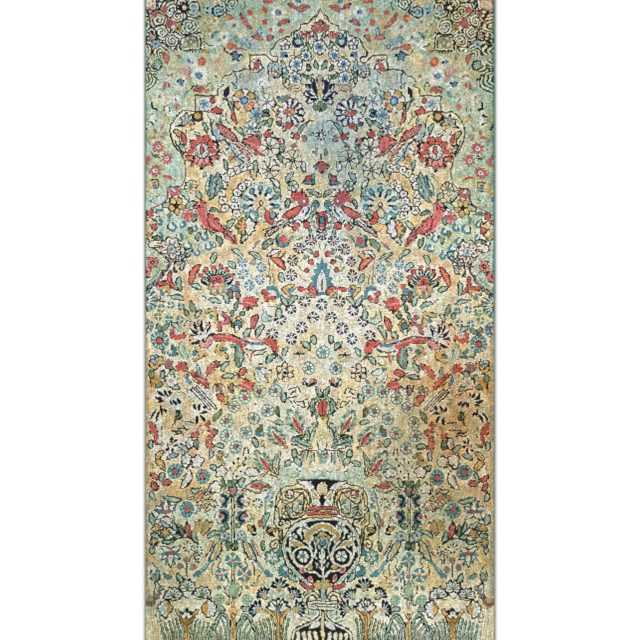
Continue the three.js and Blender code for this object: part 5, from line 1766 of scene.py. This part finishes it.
@dataclass
class Weave:
    """How the half chart is laid out over the whole rug, with the unevenness of hand weaving."""

    middle_offset: float = 1.3  # knots from the rug's middle to the design's middle line
    wander_rows: tuple[float, ...] = (0, 60, 140, 220, 540)  # and how far it strays from there, row by row
    wander: tuple[float, ...] = (-1.8, -1, -0.5, 1, 1.4)
    right_narrowing: float = 0.04  # the right half was beaten a little narrower
    right_drop: float = 0.006  # it hangs lower too, by this share of the way out
    right_sag: float = 0.024  # and by this much more round the sag's row
    sag_row: float = 300
    sag_reach: float = 110
    middle_reach: float = 15  # knots from the middle line over which the two halves share its wander
    edge_band: tuple[float, float] = (160, 172)  # where the right half is drawn in to meet its edge stripes
    edge_gain: float = 4.2

    def chart_place(self, x: Array, y: Array) -> tuple[Array, Array]:
        """The place on the half chart that each place on the rug takes its colour from.

        Args:
            x: knots to the right of the rug's middle.
            y: knots towards the head from it.

        Returns:
            Knots out from the design's middle line, and knots down from its head.
        """
        down = MIDDLE_ROW - y
        stray = np.interp(down, self.wander_rows, self.wander)
        side = x - self.middle_offset
        away = np.abs(side)
        near = np.exp(-away / self.middle_reach)
        left = np.abs(away + stray * near)
        right = np.abs(away - stray * (2 - near)) / (1 - self.right_narrowing)
        near_edge = np.clip((away - self.edge_band[0]) / (self.edge_band[1] - self.edge_band[0]), 0, 1)
        right += near_edge * (away + self.edge_gain - right)
        sag = self.right_drop + self.right_sag * np.exp(-((down - self.sag_row) / self.sag_reach) ** 2)
        return np.where(side < 0, left, right), np.where(side < 0, down, down - sag * away)

    def lay_out(self, chart: Chart, x: Array, y: Array) -> Array:
        """The chart's colour at each place on the rug.

        Args:
            chart: the finished half chart.
            x: knots to the right of the rug's middle.
            y: knots towards the head from it.

        Returns:
            Red, green and blue for each place, and how much of it a motif covers.
        """
        out, down = self.chart_place(x, y)
        col = np.clip((HALF_WIDTH - out) * FINENESS, 0, chart.out.size - 1).astype(int)
        row = np.clip((down - HEAD_ROW) * FINENESS, 0, chart.down.size - 1).astype(int)
        return np.dstack([chart.colour, chart.drawn])[row, col]


@dataclass(frozen=True)
class ShadeSheenAndDye:
    """A soft patch of the rug where painted sheen and shade, as the silk lies unevenly, and the yarn's own
    dye shift every colour.
    """

    across: float  # knots to the right of the rug's middle
    along: float  # knots towards the head from it
    wide: float  # how far it reaches, across
    long: float  # and along
    gain: tuple[float, float, float]  # what red, green and blue are multiplied by in its middle

    def share(self, x: Array, y: Array) -> Array:
        """How strong it is at each place, from 0 to 1."""
        return np.exp(-((x - self.across) / self.wide) ** 2 - ((y - self.along) / self.long) ** 2)


# Painted sheen and shade where the silk lies unevenly, mixed with the yarn's own dye, over design and ground
# alike
SHADE_SHEEN_AND_DYE = (
    ShadeSheenAndDye(0, 300, 320, 80, (0.93, 0.95, 0.97)),
    ShadeSheenAndDye(0, 60, 220, 110, (1.04, 1.03, 1.05)),
    ShadeSheenAndDye(170, 290, 60, 90, (0.93, 0.91, 0.85)),
    ShadeSheenAndDye(24, 170, 36, 80, (0.82, 0.89, 0.97)),
    ShadeSheenAndDye(-60, 60, 110, 90, (1.03, 1.04, 1.05)),
    ShadeSheenAndDye(140, -100, 60, 70, (0.88, 0.81, 0.72)),
    ShadeSheenAndDye(76, -160, 50, 60, (0.84, 0.83, 0.79)),
    ShadeSheenAndDye(-165, -230, 40, 90, (0.87, 0.89, 0.92)),
    ShadeSheenAndDye(0, -230, 50, 80, (0.89, 0.93, 0.95)),
    ShadeSheenAndDye(150, -220, 50, 60, (0.86, 0.85, 0.83)),
    ShadeSheenAndDye(-90, -280, 40, 44, (1.08, 1.06, 1.09)),
    ShadeSheenAndDye(0, 0, 900, 900, (0.998, 0.986, 0.97)),
    ShadeSheenAndDye(8, -158, 46, 26, (1.13, 1.11, 1.13)),
    ShadeSheenAndDye(0, 165, 70, 56, (0.93, 0.95, 0.97)),
    ShadeSheenAndDye(-105, -222, 60, 36, (0.91, 0.94, 0.92)),
    ShadeSheenAndDye(110, -222, 50, 36, (0.92, 0.96, 0.95)),
    ShadeSheenAndDye(-150, -95, 26, 40, (0.93, 0.96, 0.97)),
    ShadeSheenAndDye(120, -150, 60, 30, (1.05, 1.05, 1.05)),
    ShadeSheenAndDye(110, 95, 60, 34, (1.02, 1.05, 1.07)),
    ShadeSheenAndDye(-150, 40, 30, 60, (0.93, 0.95, 0.96)),
    ShadeSheenAndDye(-150, 290, 50, 40, (0.9, 0.94, 0.96)),
    ShadeSheenAndDye(-140, -290, 60, 50, (0.92, 0.93, 0.88)),
    ShadeSheenAndDye(150, -90, 60, 60, (0.97, 0.94, 0.88)),
    ShadeSheenAndDye(0, -250, 260, 90, (0.99, 1.0, 0.96)),
    ShadeSheenAndDye(60, 150, 110, 30, (0.98, 0.97, 0.93)),
    ShadeSheenAndDye(-150, 150, 30, 70, (1.01, 1.03, 1.05)),
    ShadeSheenAndDye(80, -285, 40, 40, (1.08, 1.06, 1.09)),
)


# The bare ground's clouding: knots from one light place to the next, the pattern's seed, its strength, and
# what red, green and blue are multiplied by
CLOUDING = ((15, 21, 1.0, (1.02, 0.97, 0.86)), (10, 23, 1.0, (0.94, 1.0, 1.02)),
            (6, 22, 1.0, (1.06, 1.06, 1.08)), (3.2, 26, 1.0, (0.95, 0.97, 0.95)),
            (2.2, 27, 0.8, (1.03, 0.98, 0.95)), (4, 25, 0.8, (1.04, 1.04, 1.06)))


@dataclass
class DyeAndPaintedSheen:
    """The pile's colour: the design, with the yarn's clouding, each knot's own shade, and painted sheen and
    shade laid over it all.
    """

    shake: float = 0.6  # knots that single knots stray
    sway: float = 0.9  # knots that a whole motif strays
    level: float = 0.955  # how light the silk is as a whole
    own_shade: float = 0.11  # how much knots differ in shade
    mottle: float = 0.08  # how much small patches do
    streaks: float = 0.07  # and the rows, in short streaks

    def stray(self, x: Array, y: Array, seed: int) -> Array:
        """How far knots stray one way."""
        return self.shake * cloud(x, y, 2.7, seed) + self.sway * cloud(x, y, 11, seed + 1)

    def colour(self, chart: Chart, x: Array, y: Array) -> Array:
        """The colour at each place on the rug.

        Args:
            chart: the finished half chart.
            x: knots to the right of the rug's middle.
            y: knots towards the head from it.

        Returns:
            Red, green and blue for each place.
        """
        laid = Weave().lay_out(chart, x + self.stray(x, y, 13), y + self.stray(x, y, 11))
        colour = laid[..., :3]
        bare = (1 - laid[..., 3]) * np.clip(6 * colour.mean(axis=-1) - 3, 0, 1)
        for size, seed, share, gain in CLOUDING:
            part = np.clip(1.5 * cloud(x, y, size, seed), 0, 1) * share * bare
            colour = colour * (1 + (np.array(gain) - 1) * part[..., None])
        # Painted sheen and shade, with some of the yarn's dye, over every colour
        for tone in SHADE_SHEEN_AND_DYE:
            colour = colour * (1 + (np.array(tone.gain) - 1) * tone.share(x, y)[..., None])
        knot = np.random.default_rng(31).normal(0, 1, (700, 900))
        own = knot[(y + 340).astype(int), (x + 440).astype(int)]
        shade = (self.level + self.own_shade * own + self.mottle * cloud(x, y, 1.6, 32)
                 + self.streaks * cloud(x, y / 3, 2.2, 33))
        return np.clip(colour * shade[..., None], 0, 1)


class Value:
    """A number that a shader works out, so that sums on it are written as plain Python."""

    def __init__(self, nodes: "Finish", socket: bpy.types.NodeSocket) -> None:
        """Wraps a node's output socket."""
        self.nodes, self.socket = nodes, socket

    def _math(self, kind: str, *others: "Value | float") -> "Value":
        """A Math node's result on this value and others."""
        inputs = {i + 1: v for i, v in enumerate(others)}
        return self.nodes.value("ShaderNodeMath", {"operation": kind}, {0: self, **inputs})

    def __add__(self, other: "Value | float") -> "Value":
        """This plus other."""
        return self._math("ADD", other)

    def __mul__(self, other: "Value | float") -> "Value":
        """This times other."""
        return self._math("MULTIPLY", other)

    def __sub__(self, other: "Value | float") -> "Value":
        """This less other."""
        return self._math("SUBTRACT", other)

    def __rsub__(self, other: float) -> "Value":
        """Other less this."""
        return self * -1 + other

    def __truediv__(self, other: "Value | float") -> "Value":
        """This divided by other."""
        return self._math("DIVIDE", other)

    __radd__, __rmul__ = __add__, __mul__

    def floor(self) -> "Value":
        """The whole number below this."""
        return self._math("FLOOR")

    def part(self) -> "Value":
        """What is left of this above its whole number."""
        return self._math("FRACT")

    def over(self, limit: float) -> "Value":
        """1 where this is over the limit, or else 0."""
        return self._math("GREATER_THAN", limit)

    def wave(self) -> "Value":
        """The sine of this."""
        return self._math("SINE")

    def clamp(self) -> "Value":
        """This, held between 0 and 1."""
        return self._math("MAXIMUM", 0.0)._math("MINIMUM", 1.0)


class Finish:
    """A material that is being built, and the few ways its nodes are made."""

    def __init__(self, name: str, fixed: dict[str, float | tuple[float, ...]]) -> None:
        """Starts a material with a Principled shader.

        Args:
            name: the material's name.
            fixed: values of the shader's sockets that are the same all over.
        """
        self.material = bpy.data.materials.new(name)
        self.material.use_nodes = True
        self.tree = self.material.node_tree
        self.shader = self.tree.nodes["Principled BSDF"]
        for key, value in fixed.items():
            self.shader.inputs[key].default_value = value

    def node(self, kind: str, settings: dict, inputs: dict) -> bpy.types.Node:
        """Adds one node.

        Args:
            kind: the node's type.
            settings: its settings, set first.
            inputs: a value or a link for some of its sockets.

        Returns:
            The node.
        """
        node = self.tree.nodes.new(kind)
        for key, value in settings.items():
            setattr(node, key, value)
        for key, value in inputs.items():
            self.feed(node.inputs[key], value)
        return node

    def feed(self, socket: bpy.types.NodeSocket, value: object) -> None:
        """Links a value to a socket, or sets it there."""
        if isinstance(value, Value):
            value = value.socket
        if isinstance(value, bpy.types.NodeSocket):
            self.tree.links.new(value, socket)
        else:
            socket.default_value = value

    def value(self, kind: str, settings: dict, inputs: dict) -> Value:
        """The first output of a new node, ready for sums."""
        return Value(self, self.node(kind, settings, inputs).outputs[0])

    def split(self, place: bpy.types.NodeSocket) -> tuple[Value, Value]:
        """A place's first two parts, across and along."""
        parts = self.node("ShaderNodeSeparateXYZ", {}, {0: place}).outputs
        return Value(self, parts[0]), Value(self, parts[1])

    def noise(self, place: bpy.types.NodeSocket, scale: float, detail: float) -> Value:
        """Soft noise over a place, from 0 to 1."""
        return self.value("ShaderNodeTexNoise", {}, {"Vector": place, "Scale": scale, "Detail": detail})

    def tint(self, share: Value, low: object, high: object) -> bpy.types.NodeSocket:
        """A colour between two, by a share from 0 to 1."""
        return self.node("ShaderNodeMix", {"data_type": "RGBA"}, {0: share, 6: low, 7: high}).outputs[2]

    def relief(self, height: Value, depth: float) -> None:
        """Feeds a height of that many metres to the shader's normal."""
        bump = self.node("ShaderNodeBump", {}, {"Strength": 1.0, "Distance": depth, "Height": height})
        self.feed(self.shader.inputs["Normal"], bump.outputs[0])


def choose_open_edges() -> None:
    """Goes into edit mode with the piece's open edges picked."""
    bpy.ops.object.mode_set(mode="EDIT")
    bpy.ops.mesh.select_mode(type="EDGE")
    bpy.ops.mesh.select_all(action="DESELECT")
    bpy.ops.mesh.select_non_manifold()


def face_outwards() -> None:
    """Turns all faces outwards and leaves edit mode."""
    bpy.ops.mesh.select_all(action="SELECT")
    bpy.ops.mesh.normals_make_consistent(inside=False)
    bpy.ops.object.mode_set(mode="OBJECT")


def repeat(piece: bpy.types.Object, count: int, step: tuple[float, float, float], merge: float) -> None:
    """Copies what is modelled in a row and welds the copies.

    Args:
        piece: what is copied.
        count: how many there are in the row.
        step: metres from one to the next.
        merge: how near two points are joined.
    """
    row = piece.modifiers.new("row", "ARRAY")
    row.count = count
    row.use_relative_offset = False
    row.use_constant_offset = True
    row.constant_offset_displace = step
    row.use_merge_vertices = True
    row.merge_threshold = merge
    bpy.ops.object.modifier_apply(modifier="row")


def read(items: bpy.types.bpy_prop_collection, key: str, columns: int = 1) -> Array:
    """One row of numbers for each item of a mesh, such as its faces' middles.

    Args:
        items: the mesh's points, corners or faces.
        key: what is read.
        columns: how many numbers it has; a single one is a whole number.

    Returns:
        The numbers.
    """
    values = np.zeros(len(items) * columns, dtype=np.int32 if columns == 1 else np.float64)
    items.foreach_get(key, values)
    return values if columns == 1 else values.reshape(-1, columns)


@dataclass
class KnottedPile:
    """The knotted carpet itself: a flat sheet whose every face carries the colours of its own knots."""

    faces_across: int = 174  # two knots to a face
    faces_along: int = 332
    cells: int = 4  # cells of colour across a face, and along it
    row_gap_painted_shade: float = 0.95  # painted shade: how much darker the pile is painted between two rows of knots
    tuft_shade: float = 0.03  # how much the tufts of one knot differ in shade
    tuft: float = 0.25e-3  # metres that a knot's tuft stands above the gaps round it
    rim: float = 1.1e-3  # metres that the sheared pile rolls over at its edge
    rim_steps: int = 3
    shades: int = 128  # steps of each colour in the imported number
    map_faces: int = 512  # faces to one side of the stitch map

    def build(self, chart: Chart) -> bpy.types.Object:
        """Models the sheet and dyes it.

        Args:
            chart: the finished half chart.

        Returns:
            The sheet.
        """
        self.low, self.high = (np.array(corner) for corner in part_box("rug_pile"))
        self.size = self.high - self.low
        sheet = self.model()
        self.dye_and_paint_shade(sheet, chart)
        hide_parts("rug_pile")
        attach(sheet, "root")
        return sheet

    def grid(self, across: int, along: int, height: float) -> bpy.types.Object:
        """A level grid inside the rim, at a height."""
        bpy.ops.mesh.primitive_grid_add(x_subdivisions=across, y_subdivisions=along, size=1,
                                        location=(0, 0, height))
        grid = bpy.context.object
        grid.scale = (self.size[0] - 2 * self.rim, self.size[1] - 2 * self.rim, 1)
        bpy.ops.object.transform_apply(location=True, rotation=False, scale=True)
        return grid

    def model(self) -> bpy.types.Object:
        """Models the closed sheet: a fine face, a rolled rim and a coarser back."""
        bpy.ops.object.select_all(action="DESELECT")
        back = self.grid(self.faces_across // 2, self.faces_along // 2, 0)
        bpy.ops.object.mode_set(mode="EDIT")
        bpy.ops.mesh.select_all(action="SELECT")
        bpy.ops.mesh.flip_normals()
        choose_open_edges()
        bpy.ops.mesh.subdivide(number_cuts=1, ngon=True)
        bpy.ops.object.mode_set(mode="OBJECT")
        bpy.ops.object.select_all(action="DESELECT")
        sheet = self.grid(self.faces_across, self.faces_along, self.size[2])
        choose_open_edges()
        wide, long = self.size[:2] - 2 * self.rim
        angles = np.linspace(0, np.pi / 2, self.rim_steps + 1)
        rings = [(self.rim * math.sin(a), self.size[2] - self.rim * (1 - math.cos(a))) for a in angles[1:]]
        rings += [(self.rim * math.cos(a), self.rim * (1 - math.sin(a))) for a in angles]
        reach, height = 0.0, self.size[2]
        for next_reach, next_height in rings:
            grow = 2 * (next_reach - reach)
            bpy.ops.mesh.extrude_edges_move(TRANSFORM_OT_translate={"value": (0, 0, next_height - height)})
            bpy.ops.transform.resize(value=((wide + 2 * reach + grow) / (wide + 2 * reach),
                                            (long + 2 * reach + grow) / (long + 2 * reach), 1),
                                     center_override=(0, 0, next_height))
            reach, height = next_reach, next_height
        bpy.ops.object.mode_set(mode="OBJECT")
        back.select_set(True)
        sheet.select_set(True)
        bpy.context.view_layer.objects.active = sheet
        bpy.ops.object.join()
        bpy.ops.object.mode_set(mode="EDIT")
        bpy.ops.mesh.select_all(action="SELECT")
        bpy.ops.mesh.remove_doubles(threshold=1e-5)
        face_outwards()
        bpy.ops.object.shade_smooth()
        sheet.name = sheet.data.name = "silk_pile"
        return sheet

    def dye_and_paint_shade(self, sheet: bpy.types.Object, chart: Chart) -> None:
        """Gives every face the colours of its knots, with painted shade between the rows of knots and painted
        sheen over the rug, and the sheet its material.

        Args:
            sheet: the modelled sheet.
            chart: the finished half chart.
        """
        mesh = sheet.data
        centre, normal = (read(mesh.polygons, key, 3) for key in ("center", "normal"))
        # Each face's column and row, counted from the near left corner; the back's faces are twice as large
        face_size = (self.size[:2] - 2 * self.rim) / (self.faces_across, self.faces_along)
        inner = self.low[:2] + self.rim
        is_back = normal[:, 2] < -0.5
        pitch = np.where(is_back[:, None], 2 * face_size, face_size)
        spot = np.floor((centre[:, :2] - inner) / pitch)
        level = np.abs(normal[:, 2]) > 0.99

        # The colours of its knots, packed three to a number
        knots = self.cells // 2
        step = (np.arange(knots) + 0.5) / knots
        x = inner[0] + (spot[:, 0, None, None] + step[None, None, :]) * pitch[:, 0, None, None]
        y = inner[1] + (spot[:, 1, None, None] + step[None, :, None]) * pitch[:, 1, None, None]
        x, y = np.broadcast_arrays(x, y)
        x = np.where(level[:, None, None], x, centre[:, 0, None, None])
        y = np.where(level[:, None, None], y, centre[:, 1, None, None])
        colour = DyeAndPaintedSheen().colour(chart, x / KNOT, y / KNOT).repeat(2, axis=1).repeat(2, axis=2)
        tuft_tone_and_row_shade = 1 + self.tuft_shade * np.random.default_rng(41).normal(0, 1, colour.shape[:3])
        # The first cell row of each knot is painted darker: painted shade between two rows of knots
        tuft_tone_and_row_shade[:, ::2] *= self.row_gap_painted_shade
        colour = np.clip(colour * tuft_tone_and_row_shade[..., None], 0, 1)
        packed = np.zeros(colour.shape[:3], dtype=np.float64)
        for part in range(3):
            packed = packed * self.shades + np.round(colour[..., part] * (self.shades - 1))
        for row in range(self.cells):
            layer = mesh.attributes.new(f"knots_{row}", "FLOAT_COLOR", "FACE")
            layer.data.foreach_set("color", packed[:, row, :].astype(np.float32).ravel())

        # The stitch map, which counts faces across and along, the back's beside the face's
        of_face = np.repeat(np.arange(len(mesh.polygons)), read(mesh.polygons, "loop_total"))
        corner = read(mesh.vertices, "co", 3)[read(mesh.loops, "vertex_index")]
        across = (corner[:, :2] - inner) / pitch[of_face]
        across = np.where(level[of_face, None], across, spot[of_face] + 0.5)
        across[:, 0] += np.where(is_back[of_face], self.faces_across + 6, 2)
        across[:, 1] += 2
        stitch_map = mesh.uv_layers.new(name="Stitches")
        stitch_map.data.foreach_set("uv", (across / self.map_faces).astype(np.float32).ravel())
        mesh.materials.append(self.silk())

    def silk(self) -> bpy.types.Material:
        """The pile's material: each knot's colour, its tuft and the silk's soft gloss."""
        finish = Finish("silk_pile", {"Roughness": 0.7, "Sheen Weight": 0.06, "Sheen Roughness": 0.5,
                                      "Specular IOR Level": 0.18})
        stitches = finish.node("ShaderNodeUVMap", {"uv_map": "Stitches"}, {})
        across, along = (part * self.map_faces for part in finish.split(stitches.outputs[0]))
        column = (across.part() * self.cells).floor()
        row = (along.part() * self.cells).floor()
        number = None
        for k in range(self.cells):
            layer = finish.node("ShaderNodeAttribute", {"attribute_name": f"knots_{k}"}, {})
            parts = finish.node("ShaderNodeSeparateColor", {}, {0: layer.outputs["Color"]})
            cells = [Value(finish, output) for output in (*parts.outputs, layer.outputs["Alpha"])]
            chosen = cells[0]
            for i in range(1, self.cells):
                chosen = chosen + (cells[i] - cells[i - 1]) * column.over(i - 0.5)
            number = chosen if number is None else number + (chosen - number) * row.over(k - 0.5)
        number = (number + 0.5).floor()
        red = (number / self.shades**2).floor()
        rest = number - red * self.shades**2
        green = (rest / self.shades).floor()
        blue = rest - green * self.shades
        colour = finish.node("ShaderNodeCombineColor", {}, {
            0: red / (self.shades - 1), 1: green / (self.shades - 1), 2: blue / (self.shades - 1)})
        true_colour = finish.node("ShaderNodeGamma", {}, {0: colour.outputs[0], 1: 2.2})
        finish.feed(finish.shader.inputs["Base Color"], true_colour.outputs[0])
        turn = math.pi * self.cells / 2
        swell = (across * turn).wave() * (along * turn).wave()
        finish.relief(swell * swell, self.tuft)
        return finish.material


@dataclass
class Selvedge:
    """A side's edge cord, overcast all along with silk yarn, wrap by wrap."""

    pitch: float = 1.5e-3  # metres from one wrap to the next
    sides: int = 12
    groove: float = 0.86  # the cord's girth between two wraps, as a share of its girth on one
    slant: float = 9  # degrees that a wrap leans

    def build(self, side: str) -> bpy.types.Object:
        """Models one side's cord over its plain solid.

        Args:
            side: "left" or "right".

        Returns:
            The cord.
        """
        low, high = (np.array(corner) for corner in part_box(f"selvedge_{side}"))
        size, middle = high - low, (high + low) / 2
        lean = math.radians(self.slant if side == "left" else -self.slant)
        spare = size[0] / 2 * math.tan(abs(lean))
        wraps = int((size[1] - 2 * spare) / self.pitch)
        pitch = (size[1] - 2 * spare) / wraps
        bpy.ops.object.select_all(action="DESELECT")
        bpy.ops.mesh.primitive_circle_add(vertices=self.sides, radius=0.5, location=(0, 0, 0),
                                          rotation=(math.pi / 2, 0, 0))
        cord = bpy.context.object
        cord.name = cord.data.name = f"{side}_edge_cord"
        cord.scale = (size[0] / math.cos(lean), size[2], 1)
        bpy.ops.object.transform_apply(location=True, rotation=True, scale=True)
        bpy.ops.object.mode_set(mode="EDIT")
        bpy.ops.mesh.select_all(action="SELECT")
        bpy.ops.transform.resize(value=(self.groove,) * 3, center_override=(0, 0, 0))
        bpy.ops.transform.rotate(value=lean, orient_axis="Z", center_override=(0, 0, 0))
        girth, reach = self.groove, 0.0
        steps = ((0.22, 0.97), (0.5, 1.0), (0.78, 0.97), (1.0, self.groove))
        for share, next_girth in steps:
            bpy.ops.mesh.extrude_edges_move(TRANSFORM_OT_translate={"value": (0, share * pitch - reach, 0)})
            reach = share * pitch
            bpy.ops.transform.resize(value=(next_girth / girth,) * 3, center_override=(0, reach, 0))
            girth = next_girth
        bpy.ops.object.mode_set(mode="OBJECT")
        repeat(cord, wraps, (0, pitch, 0), 1e-5)
        choose_open_edges()
        bpy.ops.mesh.fill()
        face_outwards()
        cord.location = (middle[0], low[1] + spare, middle[2])
        bpy.ops.object.transform_apply(location=True, rotation=False, scale=False)
        bpy.ops.object.shade_smooth()
        cord.data.materials.append(overcast_silk(pitch))
        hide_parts(f"selvedge_{side}")
        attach(cord, "root")
        return cord


@dataclass
class EndWeb:
    """The narrow plain-woven web past the last row of knots, its warps passing over and under the wefts."""

    warps: int = 346
    wefts: int = 8
    lift: float = 0.35e-3  # metres that a warp rises where it passes over a weft
    crown: float = 0.25e-3  # metres that a warp's middle stands above its two sides

    def build(self, end: str) -> bpy.types.Object:
        """Models one end's web over its plain solid.

        Args:
            end: "head" or "foot".

        Returns:
            The web.
        """
        low, high = (np.array(corner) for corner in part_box(f"end_web_{end}"))
        size, middle = high - low, (high + low) / 2
        pair = 2 * size[0] / self.warps
        bpy.ops.object.select_all(action="DESELECT")
        bpy.ops.mesh.primitive_grid_add(x_subdivisions=8, y_subdivisions=2 * self.wefts, size=1,
                                        location=(0, 0, 0))
        web = bpy.context.object
        web.name = web.data.name = f"{end}_end_web"
        web.scale = (pair, size[1], 1)
        bpy.ops.object.transform_apply(location=True, rotation=False, scale=True)
        for point in web.data.vertices:
            across = (point.co.x / pair + 0.5) * 2
            row = (point.co.y / size[1] + 0.5) * self.wefts
            over = math.cos(math.pi * row) * (1 if int(min(across, 1.999)) == 0 else -1)
            inner = math.sin(math.pi * (across % 1)) ** 0.7 if 0 < across % 1 else 0.0
            point.co.z = -self.lift - self.crown + inner * (self.crown + self.lift * over)
        repeat(web, self.warps // 2, (pair, 0, 0), 1e-6)
        wall = web.modifiers.new("thickness", "SOLIDIFY")
        wall.thickness = size[2] - 2 * (self.lift + self.crown)
        wall.offset = -1
        bpy.ops.object.modifier_apply(modifier="thickness")
        web.location = (low[0] + pair / 2, middle[1], high[2])
        bpy.ops.object.transform_apply(location=True, rotation=False, scale=False)
        bpy.ops.object.shade_smooth()
        web.data.materials.append(ivory_web(pair / 2, size[1] / self.wefts))
        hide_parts(f"end_web_{end}")
        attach(web, "root")
        return web


def overcast_silk(pitch: float) -> bpy.types.Material:
    """The edge cord's yarn: sea green towards the head and pale grey-green below, its plies showing, their
    crests with a painted highlight.

    Args:
        pitch: metres from one wrap to the next.

    Returns:
        The material.
    """
    finish = Finish("edge_cord_silk", {"Roughness": 0.55, "Sheen Weight": 0.2, "Sheen Roughness": 0.4,
                                       "Specular IOR Level": 0.35})
    place = finish.node("ShaderNodeTexCoord", {}, {}).outputs["Object"]
    across, along = finish.split(place)
    mottle, fibre = finish.noise(place, 55, 3), finish.noise(place, 2600, 2)
    dip = (along * (2 * math.pi / pitch)).wave()
    ply = (along * (6 * math.pi / pitch) + across * 900).wave()
    lower = ((0.02 - along) * 14 + (mottle - 0.5) * 1.6 + 0.5).clamp()
    yarn = finish.tint(lower, (0.28, 0.42, 0.36, 1), (0.50, 0.52, 0.42, 1))
    # The plies' crests are painted a little paler, a painted highlight, beside the fibres' random tone
    shaded = finish.tint((fibre - 0.35) * 0.9 + ply * 0.12, yarn, (0.72, 0.71, 0.60, 1))
    finish.feed(finish.shader.inputs["Base Color"], shaded)
    finish.relief(ply * 0.5 + fibre + dip * 0.2, 0.12e-3)
    return finish.material


def ivory_web(warp: float, weft: float) -> bpy.types.Material:
    """The end web's undyed silk warps, with a darker stripe between them.

    Args:
        warp: metres from one warp to the next.
        weft: metres from one weft to the next.

    Returns:
        The material.
    """
    finish = Finish("ivory_web", {"Roughness": 0.6, "Sheen Weight": 0.15, "Sheen Roughness": 0.4,
                                  "Specular IOR Level": 0.3})
    place = finish.node("ShaderNodeTexCoord", {}, {}).outputs["Object"]
    across, along = finish.split(place)
    slub, fibre = finish.noise(place, 90, 4), finish.noise(place, 2400, 2)
    twist = (along * 5200 + across * (2 * math.pi / warp)).wave()
    gap = (across * (2 * math.pi / warp)).wave()
    yarn = finish.tint(slub, (0.55, 0.48, 0.33, 1), (0.80, 0.74, 0.58, 1))
    # Darker in a stripe between the warps, and in random fibres
    shaded = finish.tint((gap * 0.2 + 0.15 + (fibre - 0.5) * 0.5).clamp(), yarn, (0.42, 0.36, 0.25, 1))
    finish.feed(finish.shader.inputs["Base Color"], shaded)
    finish.relief(twist * 0.4 + fibre + (along * (2 * math.pi / weft)).wave() * 0.2, 0.1e-3)
    return finish.material


@dataclass
class Stage:
    """The plain pale floor, the soft light and the camera straight above."""

    photo_height: float = 640  # the picture's height in its own dots, each one knot of the rug
    lens: float = 90
    sensor: float = 36
    floor_size: float = 12

    def build(self) -> None:
        """Sets the stage."""
        bpy.ops.object.select_all(action="DESELECT")
        bpy.ops.mesh.primitive_plane_add(size=self.floor_size, location=(0, 0, -0.0002))
        floor = bpy.context.object
        floor.name = "floor"
        paper = Finish("floor", {"Base Color": (1.0, 1.0, 1.0, 1), "Roughness": 0.9})
        floor.data.materials.append(paper.material)
        self.light("key", (-1.6, 1.6, 3.2), 3.0, 52)
        self.light("fill", (1.8, -1.2, 2.8), 3.0, 30)
        world = bpy.data.worlds.new("room")
        bpy.context.scene.world = world
        world.use_nodes = True
        world.node_tree.nodes["Background"].inputs[0].default_value = (1, 1, 1, 1)
        world.node_tree.nodes["Background"].inputs[1].default_value = 0.66
        bpy.context.scene.view_settings.view_transform = "Standard"
        distance = self.lens / self.sensor * self.photo_height * KNOT
        bpy.ops.object.camera_add(location=(0, 0, distance), rotation=(0, 0, 0))
        camera = bpy.context.object
        camera.data.lens = self.lens
        camera.data.sensor_width = self.sensor
        bpy.context.scene.camera = camera

    def light(self, name: str, place: tuple[float, float, float], size: float, power: float) -> None:
        """A large soft lamp that faces the rug's middle."""
        bpy.ops.object.light_add(type="AREA", location=place)
        lamp = bpy.context.object
        lamp.name = name
        lamp.data.size = size
        lamp.data.energy = power
        lamp.rotation_euler = (-lamp.location).to_track_quat("-Z", "Y").to_euler()


def main() -> None:
    """Draws the cartoon, weaves the rug from it and sets the stage."""
    logging.basicConfig(level=logging.INFO, format="%(message)s")
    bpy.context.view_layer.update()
    chart = draw_half()
    log.info("chart drawn: %d by %d cells", *chart.colour.shape[:2])
    pile = KnottedPile().build(chart)
    log.info("%s: %d faces", pile.name, len(pile.data.polygons))
    edging = [Selvedge().build(side) for side in ("left", "right")]
    edging += [EndWeb().build(end) for end in ("head", "foot")]
    for piece in edging:
        log.info("%s: %d faces", piece.name, len(piece.data.polygons))
    Stage().build()


if __name__ == "__main__":
    main()
